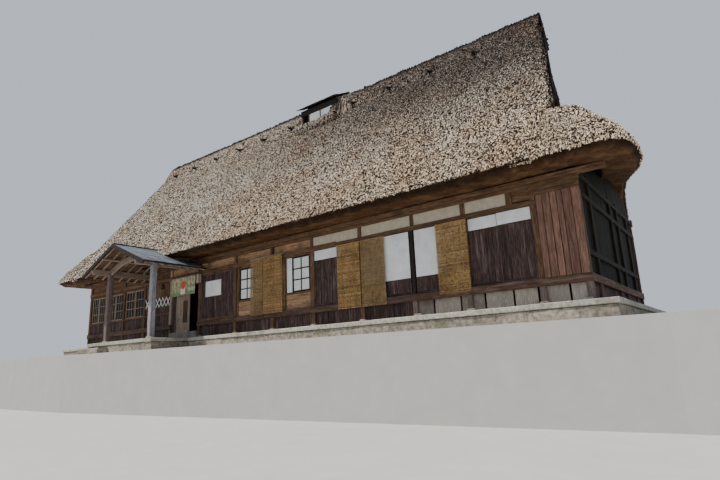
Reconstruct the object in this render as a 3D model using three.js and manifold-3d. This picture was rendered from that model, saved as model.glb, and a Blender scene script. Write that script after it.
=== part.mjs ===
// A thatched farmhouse: stone plinth, timber frame with board, paper and reed infill,
// steep thatched roof with rounded end skirts, a smoke vent on the ridge and a gabled porch.
// Millimetres. X runs east along the front wall, Y runs into the house, Z is up.
// The origin is under the middle of the plinth, on the ground.

import * as THREE from "three";
import { mergeVertices } from "three/addons/utils/BufferGeometryUtils.js";
import Module from "manifold-3d";

const wasm = await Module();
wasm.setup();

// Clearances
const seatGap = 0.3;

// Plinth
const groundToPlinth = 420;
const kerbThickness = 130;
const kerbOverhang = 30;
const plinthHalfLength = 12650;
const plinthHalfDepth = 4350;
const porchPlinth = { x0: -7000, x1: -2300, front: -5850 };

// Walls
const wallHalfLength = 12000;
const wallHalfDepth = 3500;
const sillBottom = 900;
const sillTop = 1100;
const lintelBottom = 2970;
const lintelTop = 3130;
const plateBottom = 3430;
const plateTop = 3660;
const postWidth = 150;
const thresholdTop = 740;

// Front post centres, one bay of about 1.95 m apart
const frontPosts = [11925, 10860, 8930, 7240, 5370, 3340, 1390, -630, -2850, -4850, -6900, -8700, -10400, -11925];
const doorwayPosts = { east: -2850, west: -4850 };

// Roof
const eaveY = 4800;
const eaveZ = 3730;
const ridgeZ = 10430;
const roofSlope = (ridgeZ - eaveZ) / eaveY;
const thatchDepth = 950;
const vergeFoot = { front: 11650, back: 10650 };
const vergeFootZ = 5500;
const ridgeEast = 10720;
const ridgeWest = 10450;
const gableX = 10250;
const gableThickness = 60;

// A closed solid of a geometry: shared corners are merged and collapsed triangles dropped.
function solid(geometry) {
  const bare = geometry.index ? geometry.toNonIndexed() : geometry.clone();
  bare.deleteAttribute("normal");
  bare.deleteAttribute("uv");
  const merged = mergeVertices(bare, 1e-3);
  const corners = [];
  for (let i = 0; i < merged.index.count; i += 3) {
    const [a, b, c] = [0, 1, 2].map((k) => merged.index.getX(i + k));
    if (a !== b && b !== c && c !== a) corners.push(a, b, c);
  }
  return new wasm.Manifold(new wasm.Mesh({
    numProp: 3,
    vertProperties: new Float32Array(merged.attributes.position.array),
    triVerts: new Uint32Array(corners),
  }));
}

function geometryOf(manifold) {
  const mesh = manifold.getMesh();
  const geometry = new THREE.BufferGeometry();
  geometry.setAttribute("position", new THREE.BufferAttribute(new Float32Array(mesh.vertProperties), 3));
  geometry.setIndex(new THREE.BufferAttribute(new Uint32Array(mesh.triVerts), 1));
  return geometry;
}

// A box between two corners.
function box(x0, x1, y0, y1, z0, z1) {
  const geometry = new THREE.BoxGeometry(x1 - x0, y1 - y0, z1 - z0);
  geometry.translate((x0 + x1) / 2, (y0 + y1) / 2, (z0 + z1) / 2);
  return geometry;
}

function shapeOf(points) {
  return new THREE.Shape(points.map(([u, v]) => new THREE.Vector2(u, v)));
}

// A prism along X of an outline given as [y, z] points.
function prismX(points, x0, x1) {
  const geometry = new THREE.ExtrudeGeometry(shapeOf(points), { depth: x1 - x0, bevelEnabled: false });
  const turn = new THREE.Matrix4().set(0, 0, 1, x0, 1, 0, 0, 0, 0, 1, 0, 0, 0, 0, 0, 1);
  geometry.applyMatrix4(turn);
  return geometry;
}

// A prism along Y of an outline given as [x, z] points.
function prismY(points, y0, y1) {
  const geometry = new THREE.ExtrudeGeometry(shapeOf(points), { depth: y1 - y0, bevelEnabled: false });
  const turn = new THREE.Matrix4().set(1, 0, 0, 0, 0, 0, -1, y1, 0, 1, 0, 0, 0, 0, 0, 1);
  geometry.applyMatrix4(turn);
  return geometry;
}

// A prism along Z of an outline given as [x, y] points.
function prismZ(points, z0, z1) {
  const geometry = new THREE.ExtrudeGeometry(shapeOf(points), { depth: z1 - z0, bevelEnabled: false });
  geometry.translate(0, 0, z0);
  return geometry;
}

function joined(geometries) {
  return geometries.map(solid).reduce((whole, next) => whole.add(next));
}

// The main body of a cut solid, without the slivers that a cut can leave.
function mainBody(manifold) {
  return manifold.decompose().sort((a, b) => b.volume() - a.volume())[0];
}

const stone = { color: 0x8d8f88, roughness: 0.9, metalness: 0 };
const timber = { color: 0x6d5441, roughness: 0.8, metalness: 0 };
const darkBoard = { color: 0x4a3a38, roughness: 0.85, metalness: 0 };
const redBoard = { color: 0x7a5c4c, roughness: 0.85, metalness: 0 };
const lightBoard = { color: 0x9a7248, roughness: 0.8, metalness: 0 };
const paper = { color: 0xe4e6e2, roughness: 0.7, metalness: 0 };
const plaster = { color: 0xb9b59c, roughness: 0.9, metalness: 0 };
const reed = { color: 0xa07a3c, roughness: 0.85, metalness: 0 };
const thatch = { color: 0x9a8b7c, roughness: 1, metalness: 0 };
const bark = { color: 0x3a3a30, roughness: 1, metalness: 0 };
const slate = { color: 0x4d545c, roughness: 0.6, metalness: 0.1 };
const cloth = { color: 0xb8c48c, roughness: 0.9, metalness: 0 };
const pane = { color: 0xdfe6e4, roughness: 0.2, metalness: 0 };

const house = new THREE.Group();

function part(name, shape, look) {
  const geometry = shape.isBufferGeometry ? shape : geometryOf(shape);
  const mesh = new THREE.Mesh(geometry, new THREE.MeshStandardMaterial(look));
  mesh.name = name;
  house.add(mesh);
  return mesh;
}

// Stone plinth: a base course under a kerb slab that stands a little proud of it, stepped out under the porch.
function plinthOutline(inset) {
  const x = plinthHalfLength - inset;
  const y = plinthHalfDepth - inset;
  return [
    [-x, -y], [porchPlinth.x0 + inset, -y], [porchPlinth.x0 + inset, porchPlinth.front + inset],
    [porchPlinth.x1 - inset, porchPlinth.front + inset], [porchPlinth.x1 - inset, -y],
    [x, -y], [x, y], [-x, y],
  ];
}

const kerbBottom = groundToPlinth - kerbThickness;
part("plinth_base", prismZ(plinthOutline(kerbOverhang), 0, kerbBottom), stone);
part("plinth_kerb", prismZ(plinthOutline(0), kerbBottom, groundToPlinth), stone);

const porchStep = { x0: -6950, x1: -5300, front: -6250, height: 220 };
part("porch_step", box(porchStep.x0, porchStep.x1, porchStep.front, porchPlinth.front + kerbOverhang - seatGap,
  0, porchStep.height), stone);

// Wall base: the sill beam on a board skirt set back below it, with a foundation stone under each post.
const sillOut = 30;
const sillDepth = 160;
const skirtBack = 60;
const skirtBoard = 40;
const footing = { width: 260, depth: 240, height: 120 };

function wallBase(name, posts, x0, x1, side, sillEnds) {
  const across = (near, far) => [side * near, side * far].sort((m, n) => m - n);
  const [boardLow, boardHigh] = across(wallHalfDepth - skirtBack, wallHalfDepth - skirtBack - skirtBoard);
  const [stoneLow, stoneHigh] = across(wallHalfDepth + 40, wallHalfDepth + 40 - footing.depth);
  const [stubLow, stubHigh] = across(wallHalfDepth - 5, wallHalfDepth + sillOut - sillDepth + 5);
  const [sillLow, sillHigh] = across(wallHalfDepth + sillOut, wallHalfDepth + sillOut - sillDepth);
  const pieces = [
    box(x0 + 1, x1 - 1, boardLow, boardHigh, groundToPlinth, sillBottom + 10),
    box(sillEnds[0], sillEnds[1], sillLow, sillHigh, sillBottom, sillTop),
  ];
  for (const x of posts) {
    const clip = (half) => [Math.max(x - half, x0), Math.min(x + half, x1)];
    pieces.push(box(...clip(footing.width / 2), stoneLow, stoneHigh, groundToPlinth, groundToPlinth + footing.height));
    pieces.push(box(...clip(postWidth / 2), stubLow, stubHigh, groundToPlinth, sillBottom + 10));
  }
  part(name, joined(pieces), timber);
}

const doorwayEdges = { east: doorwayPosts.east - postWidth / 2, west: doorwayPosts.west + postWidth / 2 };
const cornerX = wallHalfLength + sillOut;
wallBase("wall_base_front_east", frontPosts.filter((x) => x >= doorwayPosts.east), doorwayEdges.east,
  wallHalfLength, -1, [doorwayEdges.east + 1, cornerX]);
wallBase("wall_base_front_west", frontPosts.filter((x) => x <= doorwayPosts.west), -wallHalfLength,
  doorwayEdges.west, -1, [-cornerX, doorwayEdges.west - 1]);
wallBase("wall_base_back", frontPosts, -wallHalfLength, wallHalfLength, 1, [-cornerX, cornerX]);

const endPosts = [-2520, -50, 950, 2470];
const endRun = wallHalfDepth + sillOut - sillDepth - seatGap;
function endBase(name, side) {
  const along = (near, far) => [side * near, side * far].sort((m, n) => m - n);
  const pieces = [
    box(...along(wallHalfLength - skirtBack, wallHalfLength - skirtBack - skirtBoard),
      -endRun + 100, endRun - 100, groundToPlinth, sillBottom + 10),
    box(...along(wallHalfLength + sillOut, wallHalfLength + sillOut - sillDepth), -endRun, endRun, sillBottom, sillTop),
  ];
  for (const y of endPosts) {
    pieces.push(box(...along(wallHalfLength + 40, wallHalfLength + 40 - footing.depth),
      y - footing.width / 2, y + footing.width / 2, groundToPlinth, groundToPlinth + footing.height));
  }
  part(name, joined(pieces), timber);
}
endBase("wall_base_east", 1);
endBase("wall_base_west", -1);

// Raised board floor from the doorway to the east end, between the sills, on the plinth through its bearers.
const floorThickness = 60;
const floorInset = wallHalfDepth + sillOut - sillDepth - seatGap;
const floorEast = wallHalfLength + sillOut - sillDepth - seatGap;
function raisedFloor() {
  const bearerWidth = 120;
  const pieces = [box(doorwayEdges.east, floorEast, -floorInset, floorInset, sillTop - floorThickness, sillTop)];
  for (const y of [-2100, 0, 2100]) {
    pieces.push(box(doorwayEdges.east + 100, floorEast - 300, y - bearerWidth / 2, y + bearerWidth / 2,
      groundToPlinth, sillTop - floorThickness + 10));
  }
  return joined(pieces);
}
part("raised_floor", raisedFloor(), lightBoard);

// The doorway's threshold stands on the plinth between the two ends of the sill.
part("threshold", box(doorwayEdges.west + seatGap, doorwayEdges.east - seatGap, -wallHalfDepth - 60,
  -wallHalfDepth + 150, groundToPlinth, thresholdTop), timber);

// Wall frames: posts between sill and plate, tied by the lintel, with thinner struts above it.
const lintelProud = 60;
const strutDepth = 55;
const frameTop = plateBottom - seatGap;
const frameLow = sillTop + seatGap;
const eastBeamBottom = 3190;
const wallTrack = [-3455, -3410];
const within = (x0, x1) => frontPosts.filter((x) => x > x0 && x < x1);

function frontFrame(posts, x0, x1, lintelEnd) {
  const back = -wallHalfDepth + postWidth;
  const pieces = [box(x0, lintelEnd, -wallHalfDepth - lintelProud, back - 1, lintelBottom, lintelTop)];
  for (const x of posts) {
    const span = [Math.max(x - postWidth / 2, x0 + 1), Math.min(x + postWidth / 2, x1)];
    pieces.push(box(...span, -wallHalfDepth, back, frameLow, lintelTop - 1));
    pieces.push(box(...span, -wallHalfDepth + 1, -wallHalfDepth + strutDepth, lintelTop - 10, frameTop));
  }
  return pieces;
}

const frameSplits = [doorwayPosts.west + postWidth / 2, 4400];
function eastFrame() {
  const end = frontPosts[1] + postWidth / 2;
  const pieces = frontFrame(within(frameSplits[1], wallHalfLength), frameSplits[1], wallHalfLength, end);
  pieces.push(box(end - 10, wallHalfLength - 1, -wallHalfDepth + 2, -wallHalfDepth + postWidth - 2, lintelBottom + 1, lintelTop - 2));
  pieces.push(box(end - postWidth + 1, wallHalfLength - 1, -wallHalfDepth - 30, -wallHalfDepth + strutDepth - 1,
    eastBeamBottom, frameTop - 1));
  return joined(pieces);
}
part("front_frame_east", eastFrame(), timber);

// The middle stretch has two window bays and a plank bay, and carries the lintel over the doorway.
const windowEast = { x0: 2090, x1: 3190, z0: 1680, z1: 2920 };
const windowWest = { x0: -400, x1: 400, z0: 1680, z1: 2880 };
const holeAt = (hole) => box(hole.x0, hole.x1, wallTrack[0] - 60, wallTrack[1] + 60, hole.z0, hole.z1);
function middleWall() {
  const pieces = frontFrame(within(...frameSplits), frameSplits[0] + seatGap, frameSplits[1] - seatGap,
    frameSplits[1] - seatGap);
  pieces.push(box(doorwayPosts.east, frontPosts[5], ...wallTrack, frameLow + 1, frameTop - 1));
  pieces.push(box(frameSplits[0] + 2, doorwayPosts.east + 10, ...wallTrack, lintelTop - 10, frameTop - 2));
  return joined(pieces).subtract(joined([holeAt(windowEast), holeAt(windowWest)]));
}
part("front_wall_middle", middleWall(), timber);

// The western stretch has a plank bay beside the doorway and three lattice window bays.
const latticeSill = 1600;
const latticeTop = 2900;
const latticeBays = [[-8625, -6975], [-10325, -8775], [-11850, -10475]];
function westWall() {
  const pieces = frontFrame(within(-wallHalfLength, frameSplits[0]), -wallHalfLength, frameSplits[0] - 1, frameSplits[0]);
  pieces.push(box(-wallHalfLength + 50, doorwayPosts.west, ...wallTrack, frameLow + 1, frameTop - 1));
  const holes = latticeBays.map(([x0, x1]) => holeAt({ x0: x0 + 60, x1: x1 - 60, z0: latticeSill, z1: latticeTop }));
  return joined(pieces).subtract(joined(holes));
}
part("front_wall_west", westWall(), timber);

// Long wall plates run past the corners under the eaves.
const plateHalf = { front: 12640, back: 12030 };
const plateInner = wallHalfDepth - 120;
const plateOuter = wallHalfDepth + 90;
const plateOver = plateTop - seatGap;
part("plate_front", box(-plateHalf.front, plateHalf.front, -plateOuter, -plateInner, plateBottom, plateOver), timber);
part("plate_back", box(-plateHalf.back, plateHalf.back, plateInner, plateOuter, plateBottom, plateOver), timber);

// Plaster between the lintel and the plate in the door bays.
const bandFront = -wallHalfDepth + strutDepth + seatGap;
part("plaster_band", box(frontPosts[5] + 10, frontPosts[1] - postWidth / 2 - 2, bandFront, bandFront + 40,
  lintelTop + seatGap, frameTop), plaster);

// Infill of the front bays. Sliding panels stand in the outer track, fixed ones in the inner track.
const outerTrack = [-3475, -3440];
const innerTrack = [-3430, -3395];
const infillLow = sillTop + seatGap;
const infillHigh = lintelBottom - seatGap;
const runner = { length: 70, height: 4.7, inset: 60 };

// A sliding panel clears the sill by 5 mm and stands on two small runners.
function slidingPanel(name, x0, x1, track, foot, look) {
  const y = (track[0] + track[1]) / 2;
  const pieces = [box(x0, x1, track[0], track[1], foot + 5, lintelBottom - 5)];
  for (const x of [x0 + runner.inset, x1 - runner.inset - runner.length]) {
    pieces.push(box(x, x + runner.length, y - 8, y + 8, foot + 5 - runner.height, foot + 15));
  }
  part(name, joined(pieces), look);
}

function fixedPanel(name, x0, x1, track, look) {
  part(name, box(x0, x1, track[0], track[1], infillLow, infillHigh), look);
}

slidingPanel("board_door_east", 9850, 10780, outerTrack, sillTop, darkBoard);
slidingPanel("board_door_middle", 9010, 9940, innerTrack, sillTop, darkBoard);
slidingPanel("paper_door_east", 7320, 8330, outerTrack, sillTop, paper);
slidingPanel("paper_door_west", 6150, 7160, outerTrack, sillTop, paper);
slidingPanel("board_door_west", 3420, 4440, outerTrack, sillTop, darkBoard);
fixedPanel("fixed_panel_east", 8230, 8855 - seatGap, innerTrack, paper);
fixedPanel("fixed_panel_middle", 5445 + seatGap, 6250, innerTrack, paper);
fixedPanel("fixed_panel_west", 4340, 5295 - seatGap, innerTrack, darkBoard);

// Planks nailed over the posts of the easternmost bay.
part("plank_wall_east", box(frontPosts[1] + postWidth / 2 + seatGap, wallHalfLength, -wallHalfDepth - 35,
  -wallHalfDepth - seatGap, sillTop + seatGap, eastBeamBottom - seatGap), redBoard);

// One sash closes each window opening.
function sash(name, hole, look) {
  part(name, box(hole.x0 + seatGap, hole.x1 - seatGap, wallTrack[0] + 5, wallTrack[1] - 10,
    hole.z0 + seatGap, hole.z1 - seatGap), look);
}
sash("window_east", windowEast, pane);
sash("window_west", windowWest, pane);
const paneBack = -wallHalfDepth + postWidth + seatGap;
part("lattice_windows", box(latticeBays[2][0] + 20, latticeBays[0][1] - 20, paneBack, paneBack + 30,
  latticeSill - 40, latticeTop + 40), pane);
part("wall_sign", box(-2465, -1465, -3485, wallTrack[0] - seatGap, 2010, 2650), paper);

// Entrance: one panel fixed, one sliding, and a cloth on a rod across the doorway.
part("entrance_panel", box(frameSplits[0] + seatGap, -3860, innerTrack[0], innerTrack[1],
  thresholdTop + seatGap, infillHigh), timber);
slidingPanel("entrance_door", -4430, -3510, outerTrack, thresholdTop, lightBoard);
const lintelFace = -wallHalfDepth - lintelProud;
const rod = { x0: -4870, x1: -2990, size: 30, z: 2985 };
part("noren_rod", box(rod.x0, rod.x1, lintelFace - seatGap - rod.size, lintelFace - seatGap,
  rod.z, rod.z + rod.size), timber);
part("noren", box(-4670, -2960 - 60, lintelFace - 20, lintelFace - 12, 2240, rod.z - seatGap), cloth);

// Reed blinds: four hang under the lintel's front edge, two from a pole over the west window.
const blindFace = [-3552, -3537];
function blind(name, x0, x1, low) {
  part(name, box(x0, x1, blindFace[0], blindFace[1], low, infillHigh), reed);
}
blind("reed_blind_a", 8070, 9020, 990);
blind("reed_blind_b", 5400, 6310, 910);
blind("reed_blind_c", 4450, 5390, 910);
const pole = { y0: lintelFace - 35, y1: lintelFace - seatGap, z0: 3092, z1: 3127 };
const pairGap = 12;
part("reed_blind_pair", joined([
  box(300, 2110, pole.y0, pole.y1, pole.z0, pole.z1),
  box(340, 1000 - pairGap / 2, pole.y0 + 5, pole.y0 + 20, 1040, pole.z0 + 5),
  box(1000 + pairGap / 2, 2000, pole.y0 + 5, pole.y0 + 20, 1040, pole.z0 + 5),
]), reed);

// The back wall repeats the posts, lintel and boards, with a row of windows cut through it.
const backWindows = [[9005, 10785], [5445, 7165], [1465, 3265], [-2775, -705], [-6825, -4925], [-10325, -8775]];
function backWall() {
  const pieces = frontFrame(frontPosts, -wallHalfLength, wallHalfLength, wallHalfLength);
  pieces.push(box(-wallHalfLength + 50, wallHalfLength - 50, ...wallTrack, frameLow + 1, frameTop - 1));
  const holes = backWindows.map(([x0, x1]) => holeAt({ x0: x0 + 60, x1: x1 - 60, z0: latticeSill, z1: latticeTop }));
  return joined(pieces).subtract(joined(holes)).mirror([0, 1, 0]);
}
part("back_wall", backWall(), timber);
part("back_windows", box(backWindows[5][0] + 20, backWindows[0][1] - 20, wallHalfDepth - postWidth - 30,
  wallHalfDepth - postWidth - seatGap, latticeSill - 40, latticeTop + 40), pane);

// Thatch: two slopes, an arched skirt around each end, all about a metre thick at the eaves.
const innerFootZ = eaveZ + (eaveY - plateInner) * roofSlope - thatchDepth;
const slopeZ = (y) => eaveZ + (eaveY - Math.abs(y)) * roofSlope;

// The section of the front slope, or with a margin the room that its neighbours keep clear.
function slopeOutline(margin) {
  const rise = 2 * margin;
  return [
    [-eaveY - margin, eaveZ - margin], [-4550 - margin, 3550 - margin], [-3600, plateTop - margin],
    [-plateInner + margin, plateTop - margin], [-plateInner + margin, innerFootZ - margin],
    [margin - seatGap, ridgeZ - thatchDepth - margin],
    [margin - seatGap, slopeZ(margin - seatGap) + rise], [-eaveY - margin, slopeZ(eaveY + margin) + rise],
  ];
}

// The verge leans inwards above the end skirt, much more on the front slope than on the back one.
function vergeOutline(foot, margin) {
  return [
    [-foot - margin, 0], [foot + margin, 0], [foot + margin, vergeFootZ],
    [ridgeEast + margin, ridgeZ + 100], [-ridgeWest - margin, ridgeZ + 100], [-foot - margin, vergeFootZ],
  ];
}

function slopeSolid(foot, margin) {
  const slab = solid(prismX(slopeOutline(margin), -13000, 13000));
  const ends = solid(prismY(vergeOutline(foot, margin), -6000, 6000));
  return slab.intersect(ends);
}

const mirroredY = (manifold) => manifold.mirror([0, 1, 0]);
const slopeFront = slopeSolid(vergeFoot.front, 0);
const slopeBack = mirroredY(slopeSolid(vergeFoot.back, 0));
const slopeFrontRoom = slopeSolid(vergeFoot.front, seatGap);
const slopeBackRoom = mirroredY(slopeSolid(vergeFoot.back, seatGap));
part("thatch_front", slopeFront, thatch);
part("thatch_back", slopeBack, thatch);

// The skirt's eave runs on from the front eave, turns a tight corner and sweeps up and inwards to the back.
// Each row holds a point of the lip and the matching inner end of its soffit.
const skirtRows = [
  [[10250, -4800, 3730], [10250, -3590, 3660]],
  [[11500, -4800, 3730], [11300, -3590, 3660]],
  [[12650, -4800, 3730], [12000, -3590, 3660]],
  [[13130, -4640, 3735], [12210, -3500, 3665]],
  [[13370, -4220, 3740], [12330, -3250, 3675]],
  [[13430, -3600, 3745], [12370, -2900, 3700]],
  [[13370, -2850, 3780], [12340, -2400, 3760]],
  [[13140, -1710, 3920], [12180, -1550, 3930]],
  [[12890, -400, 4220], [11950, -400, 4230]],
  [[12600, 930, 4500], [11700, 750, 4500]],
  [[12250, 2200, 4600], [11450, 1750, 4560]],
  [[12030, 3100, 4330], [11400, 2600, 4200]],
  [[11940, 3700, 3960], [11450, 3250, 3800]],
  [[11750, 4350, 3780], [11300, 3540, 3680]],
  [[11250, 4780, 3735], [10950, 3590, 3662]],
  [[10250, 4800, 3730], [10250, 3590, 3660]],
];
const curveThrough = (points) => new THREE.CatmullRomCurve3(points.map((p) => new THREE.Vector3(...p)));
const lipCurve = curveThrough(skirtRows.map((row) => row[0]));
const soffitCurve = curveThrough(skirtRows.map((row) => row[1]));
const sections = 45;
const profileSteps = 9;

// Where the skirt leaves the gable: a low arch from one slope to the other.
const archHalf = 3400;
const archFoot = slopeZ(archHalf);
const archRise = 1100;

function archPoint(u) {
  const across = THREE.MathUtils.clamp((u - 0.22) / 0.5, 0, 1);
  const y = THREE.MathUtils.lerp(-archHalf, archHalf, across);
  return new THREE.Vector3(gableX + seatGap, y, archFoot + archRise * (1 - (y / archHalf) ** 2));
}

function bezier(a, b, c, d, t) {
  return new THREE.CubicBezierCurve3(a, b, c, d).getPoint(t);
}

// One section of the skirt as a closed ring of points: outer curve, eave cut, soffit, inner curve.
// The outer curve never rises above the planes of the two slopes.
const skirtFall = { lift: 700, steep: 0.3, spread: 900, dip: 250, thickness: 900, innerKnee: 400 };
function skirtSection(u) {
  const lip = lipCurve.getPoint(u);
  const soffitEnd = soffitCurve.getPoint(u);
  const tangent = lipCurve.getTangent(u).setZ(0).normalize();
  const inward = new THREE.Vector3(-tangent.y, tangent.x, 0);
  const endFacing = THREE.MathUtils.smoothstep(Math.abs(inward.x), 0, 1);
  const run = (skirtFall.lift / roofSlope) * (1 - (1 - skirtFall.steep) * endFacing);
  const arch = archPoint(u);
  const knee = lip.clone().addScaledVector(inward, run).add(new THREE.Vector3(0, 0, skirtFall.lift));
  const along = arch.clone().lerp(lip, 1 / 3);
  const shoulder = along.lerp(arch.clone().add(new THREE.Vector3(skirtFall.spread, 0, -skirtFall.dip)), endFacing);
  const ring = [];
  for (let i = 0; i < profileSteps; i += 1) {
    const point = bezier(arch, shoulder, knee, lip, i / (profileSteps - 1));
    point.z = Math.min(point.z, slopeZ(point.y)) - 2;
    ring.push(point);
  }
  const cut = lip.clone().lerp(soffitEnd, 0.2);
  cut.z = lip.z - 180;
  ring.push(cut, soffitEnd);
  const innerTop = new THREE.Vector3(arch.x, arch.y * 0.86, arch.z - skirtFall.thickness);
  const innerShoulder = innerTop.clone().add(new THREE.Vector3(700, 0, -50));
  const innerKnee = soffitEnd.clone().add(new THREE.Vector3(0, 0, skirtFall.innerKnee));
  for (let i = 1; i < profileSteps; i += 1) {
    ring.push(bezier(soffitEnd, innerKnee, innerShoulder, innerTop, i / (profileSteps - 1)));
  }
  return ring.map((point) => point.toArray());
}

function skirtSolid() {
  const rings = [];
  for (let i = 0; i <= sections; i += 1) rings.push(skirtSection(i / sections));
  const size = rings[0].length;
  const positions = rings.flat(2);
  const index = [];
  for (let i = 0; i < sections; i += 1) {
    for (let j = 0; j < size; j += 1) {
      const a = i * size + j;
      const b = i * size + ((j + 1) % size);
      index.push(a, b, a + size, b, b + size, a + size);
    }
  }
  const capAt = (base, flip) => {
    const ring = rings[base / size];
    const middle = positions.length / 3;
    positions.push(...[0, 1, 2].map((k) => ring.reduce((sum, point) => sum + point[k], 0) / size));
    for (let j = 0; j < size; j += 1) {
      const a = base + j;
      const b = base + ((j + 1) % size);
      index.push(middle, flip ? a : b, flip ? b : a);
    }
  };
  capAt(0, false);
  capAt(sections * size, true);
  const geometry = new THREE.BufferGeometry();
  geometry.setAttribute("position", new THREE.BufferAttribute(new Float32Array(positions), 3));
  geometry.setIndex(index);
  return solid(geometry);
}

const mirroredX = (manifold) => manifold.mirror([1, 0, 0]);

// The gable wall closes the attic inside the verge, between the plates and under the slopes.
const slopeSeat = 0.5;
const attic = { half: plateInner - seatGap, foot: 3500, side: innerFootZ - slopeSeat, top: ridgeZ - thatchDepth - slopeSeat };
const gableOutline = [
  [-attic.half, attic.foot], [attic.half, attic.foot], [attic.half, attic.side], [0, attic.top],
  [-attic.half, attic.side],
];
const gableEast = solid(prismX(gableOutline, gableX - gableThickness, gableX));

// Each skirt is cut back where the slopes, the gable wall and the plates meet it.
const plateRoom = [1, -1].map((side) => {
  const [low, high] = [side * (plateInner - seatGap), side * (plateOuter + seatGap)].sort((m, n) => m - n);
  return box(-plateHalf.front - seatGap, plateHalf.front + seatGap, low, high, plateBottom - 1, plateTop);
});
const skirtEast = mainBody(skirtSolid().subtract(slopeFrontRoom).subtract(slopeBackRoom).subtract(joined(plateRoom)));
part("thatch_skirt_east", skirtEast, thatch);
part("thatch_skirt_west", mirroredX(skirtEast), thatch);
part("gable_east", gableEast, darkBoard);
part("gable_west", mirroredX(gableEast), darkBoard);

// End walls: posts and boards that rise to the arched soffit of the skirt above them.
const endPlate = { y: plateInner - seatGap, z0: plateBottom, z1: plateTop - seatGap };
function endWall() {
  const inner = wallHalfDepth - postWidth - seatGap;
  const x1 = wallHalfLength;
  const x0 = wallHalfLength - postWidth;
  const pieces = [
    box(x0 + 50, x1 - 50, -inner, inner, frameLow, plateBottom + 20),
    box(x0, x1 + 20, -inner + 1, inner - 1, lintelBottom, lintelTop),
    box(x0, x1, -endPlate.y, endPlate.y, endPlate.z0 + 1, endPlate.z1),
    solid(prismX([
      [-endPlate.y + 60, endPlate.z1 - 10], [endPlate.y - 60, endPlate.z1 - 10], [endPlate.y - 60, plateTop],
      [endPlate.y + 90, plateTop], [endPlate.y + 90, 4900], [2500, 5300], [-2500, 5300], [-endPlate.y - 90, 4900],
      [-endPlate.y - 90, plateTop], [-endPlate.y + 60, plateTop],
    ], x0 + 60, x1 - 40)),
  ];
  for (const y of endPosts) pieces.push(box(x0, x1, y - postWidth / 2, y + postWidth / 2, frameLow, plateBottom + 10));
  return pieces.map((piece) => (piece.isBufferGeometry ? solid(piece) : piece))
    .reduce((whole, next) => whole.add(next));
}
const roomShifts = [[0, 0, 0], [0, 0, -seatGap], [-seatGap, 0, 0], [0, -seatGap, 0], [0, seatGap, 0]];
const skirtRoom = roomShifts.map((shift) => skirtSolid().translate(shift));
const endWallEast = mainBody(skirtRoom.reduce((wall, room) => wall.subtract(room), endWall()));
part("wall_east", endWallEast, darkBoard);
part("wall_west", mirroredX(endWallEast), darkBoard);

// Ridge cap: a bark cover bent over the ridge, with the ends of the cross poles below it.
const capReach = 640;
const capThickness = 90;
const stubCount = 11;
const stub = { first: -9300, step: 1790, length: 280, radius: 45 };
function ridgeCap() {
  const drop = capReach * roofSlope;
  const lift = seatGap * 2;
  const outline = [
    [-capReach, ridgeZ - drop + lift], [-capReach - 20, ridgeZ - drop + capThickness + lift],
    [0, ridgeZ + capThickness + lift + 10], [capReach + 20, ridgeZ - drop + capThickness + lift],
    [capReach, ridgeZ - drop + lift], [0, ridgeZ + lift],
  ];
  const cap = solid(prismX(outline, -ridgeWest + 30, ridgeEast - 30));
  const stubs = [];
  for (let i = 0; i < stubCount; i += 1) {
    for (const side of [-1, 1]) {
      const geometry = new THREE.CylinderGeometry(stub.radius, stub.radius, stub.length, 8);
      const y = side * (capReach + 60);
      geometry.translate(stub.first + i * stub.step, y, ridgeZ - capReach * roofSlope + 80);
      stubs.push(geometry);
    }
  }
  return cap.add(joined(stubs)).subtract(slopeFrontRoom).subtract(slopeBackRoom);
}
const cap = ridgeCap();

// Smoke vent: a small gabled cover astride the ridge with a paper front and one open bay.
const vent = { x0: 380, x1: 2560, half: 820, roofHalf: 1050, eaveZ: 10080, ridgeZ: 10700, roof: 70 };
function smokeVent() {
  const body = [
    [-vent.half, 9000], [vent.half, 9000], [vent.half, vent.eaveZ + 60], [0, vent.ridgeZ - 60], [-vent.half, vent.eaveZ + 60],
  ];
  const roof = [
    [-vent.roofHalf, vent.eaveZ], [0, vent.ridgeZ - vent.roof], [vent.roofHalf, vent.eaveZ],
    [vent.roofHalf, vent.eaveZ + vent.roof], [0, vent.ridgeZ], [-vent.roofHalf, vent.eaveZ + vent.roof],
  ];
  const open = box(vent.x0 + 180, vent.x0 + 560, -vent.half - 10, -vent.half + 300, 9300, vent.eaveZ - 40);
  const whole = solid(prismX(body, vent.x0 + 80, vent.x1 - 80)).subtract(solid(open));
  return whole.add(solid(prismX(roof, vent.x0, vent.x1)));
}
const ridgeRoom = solid(prismX([
  [-eaveY, eaveZ], [0, ridgeZ + seatGap * 1.6], [eaveY, eaveZ], [0, 0],
], -13000, 13000));
const ventSolid = smokeVent().subtract(ridgeRoom);
part("smoke_vent", ventSolid, bark);
const ventRoom = solid(box(vent.x0 + 80 - seatGap, vent.x1 - 80 + seatGap, -vent.half - seatGap, vent.half + seatGap,
  9000, 11000));
const capPieces = cap.subtract(ventRoom).decompose().sort((m, n) => m.boundingBox().min[0] - n.boundingBox().min[0]);
part("ridge_cap_west", capPieces[0], bark);
part("ridge_cap_east", capPieces[capPieces.length - 1], bark);

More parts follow.
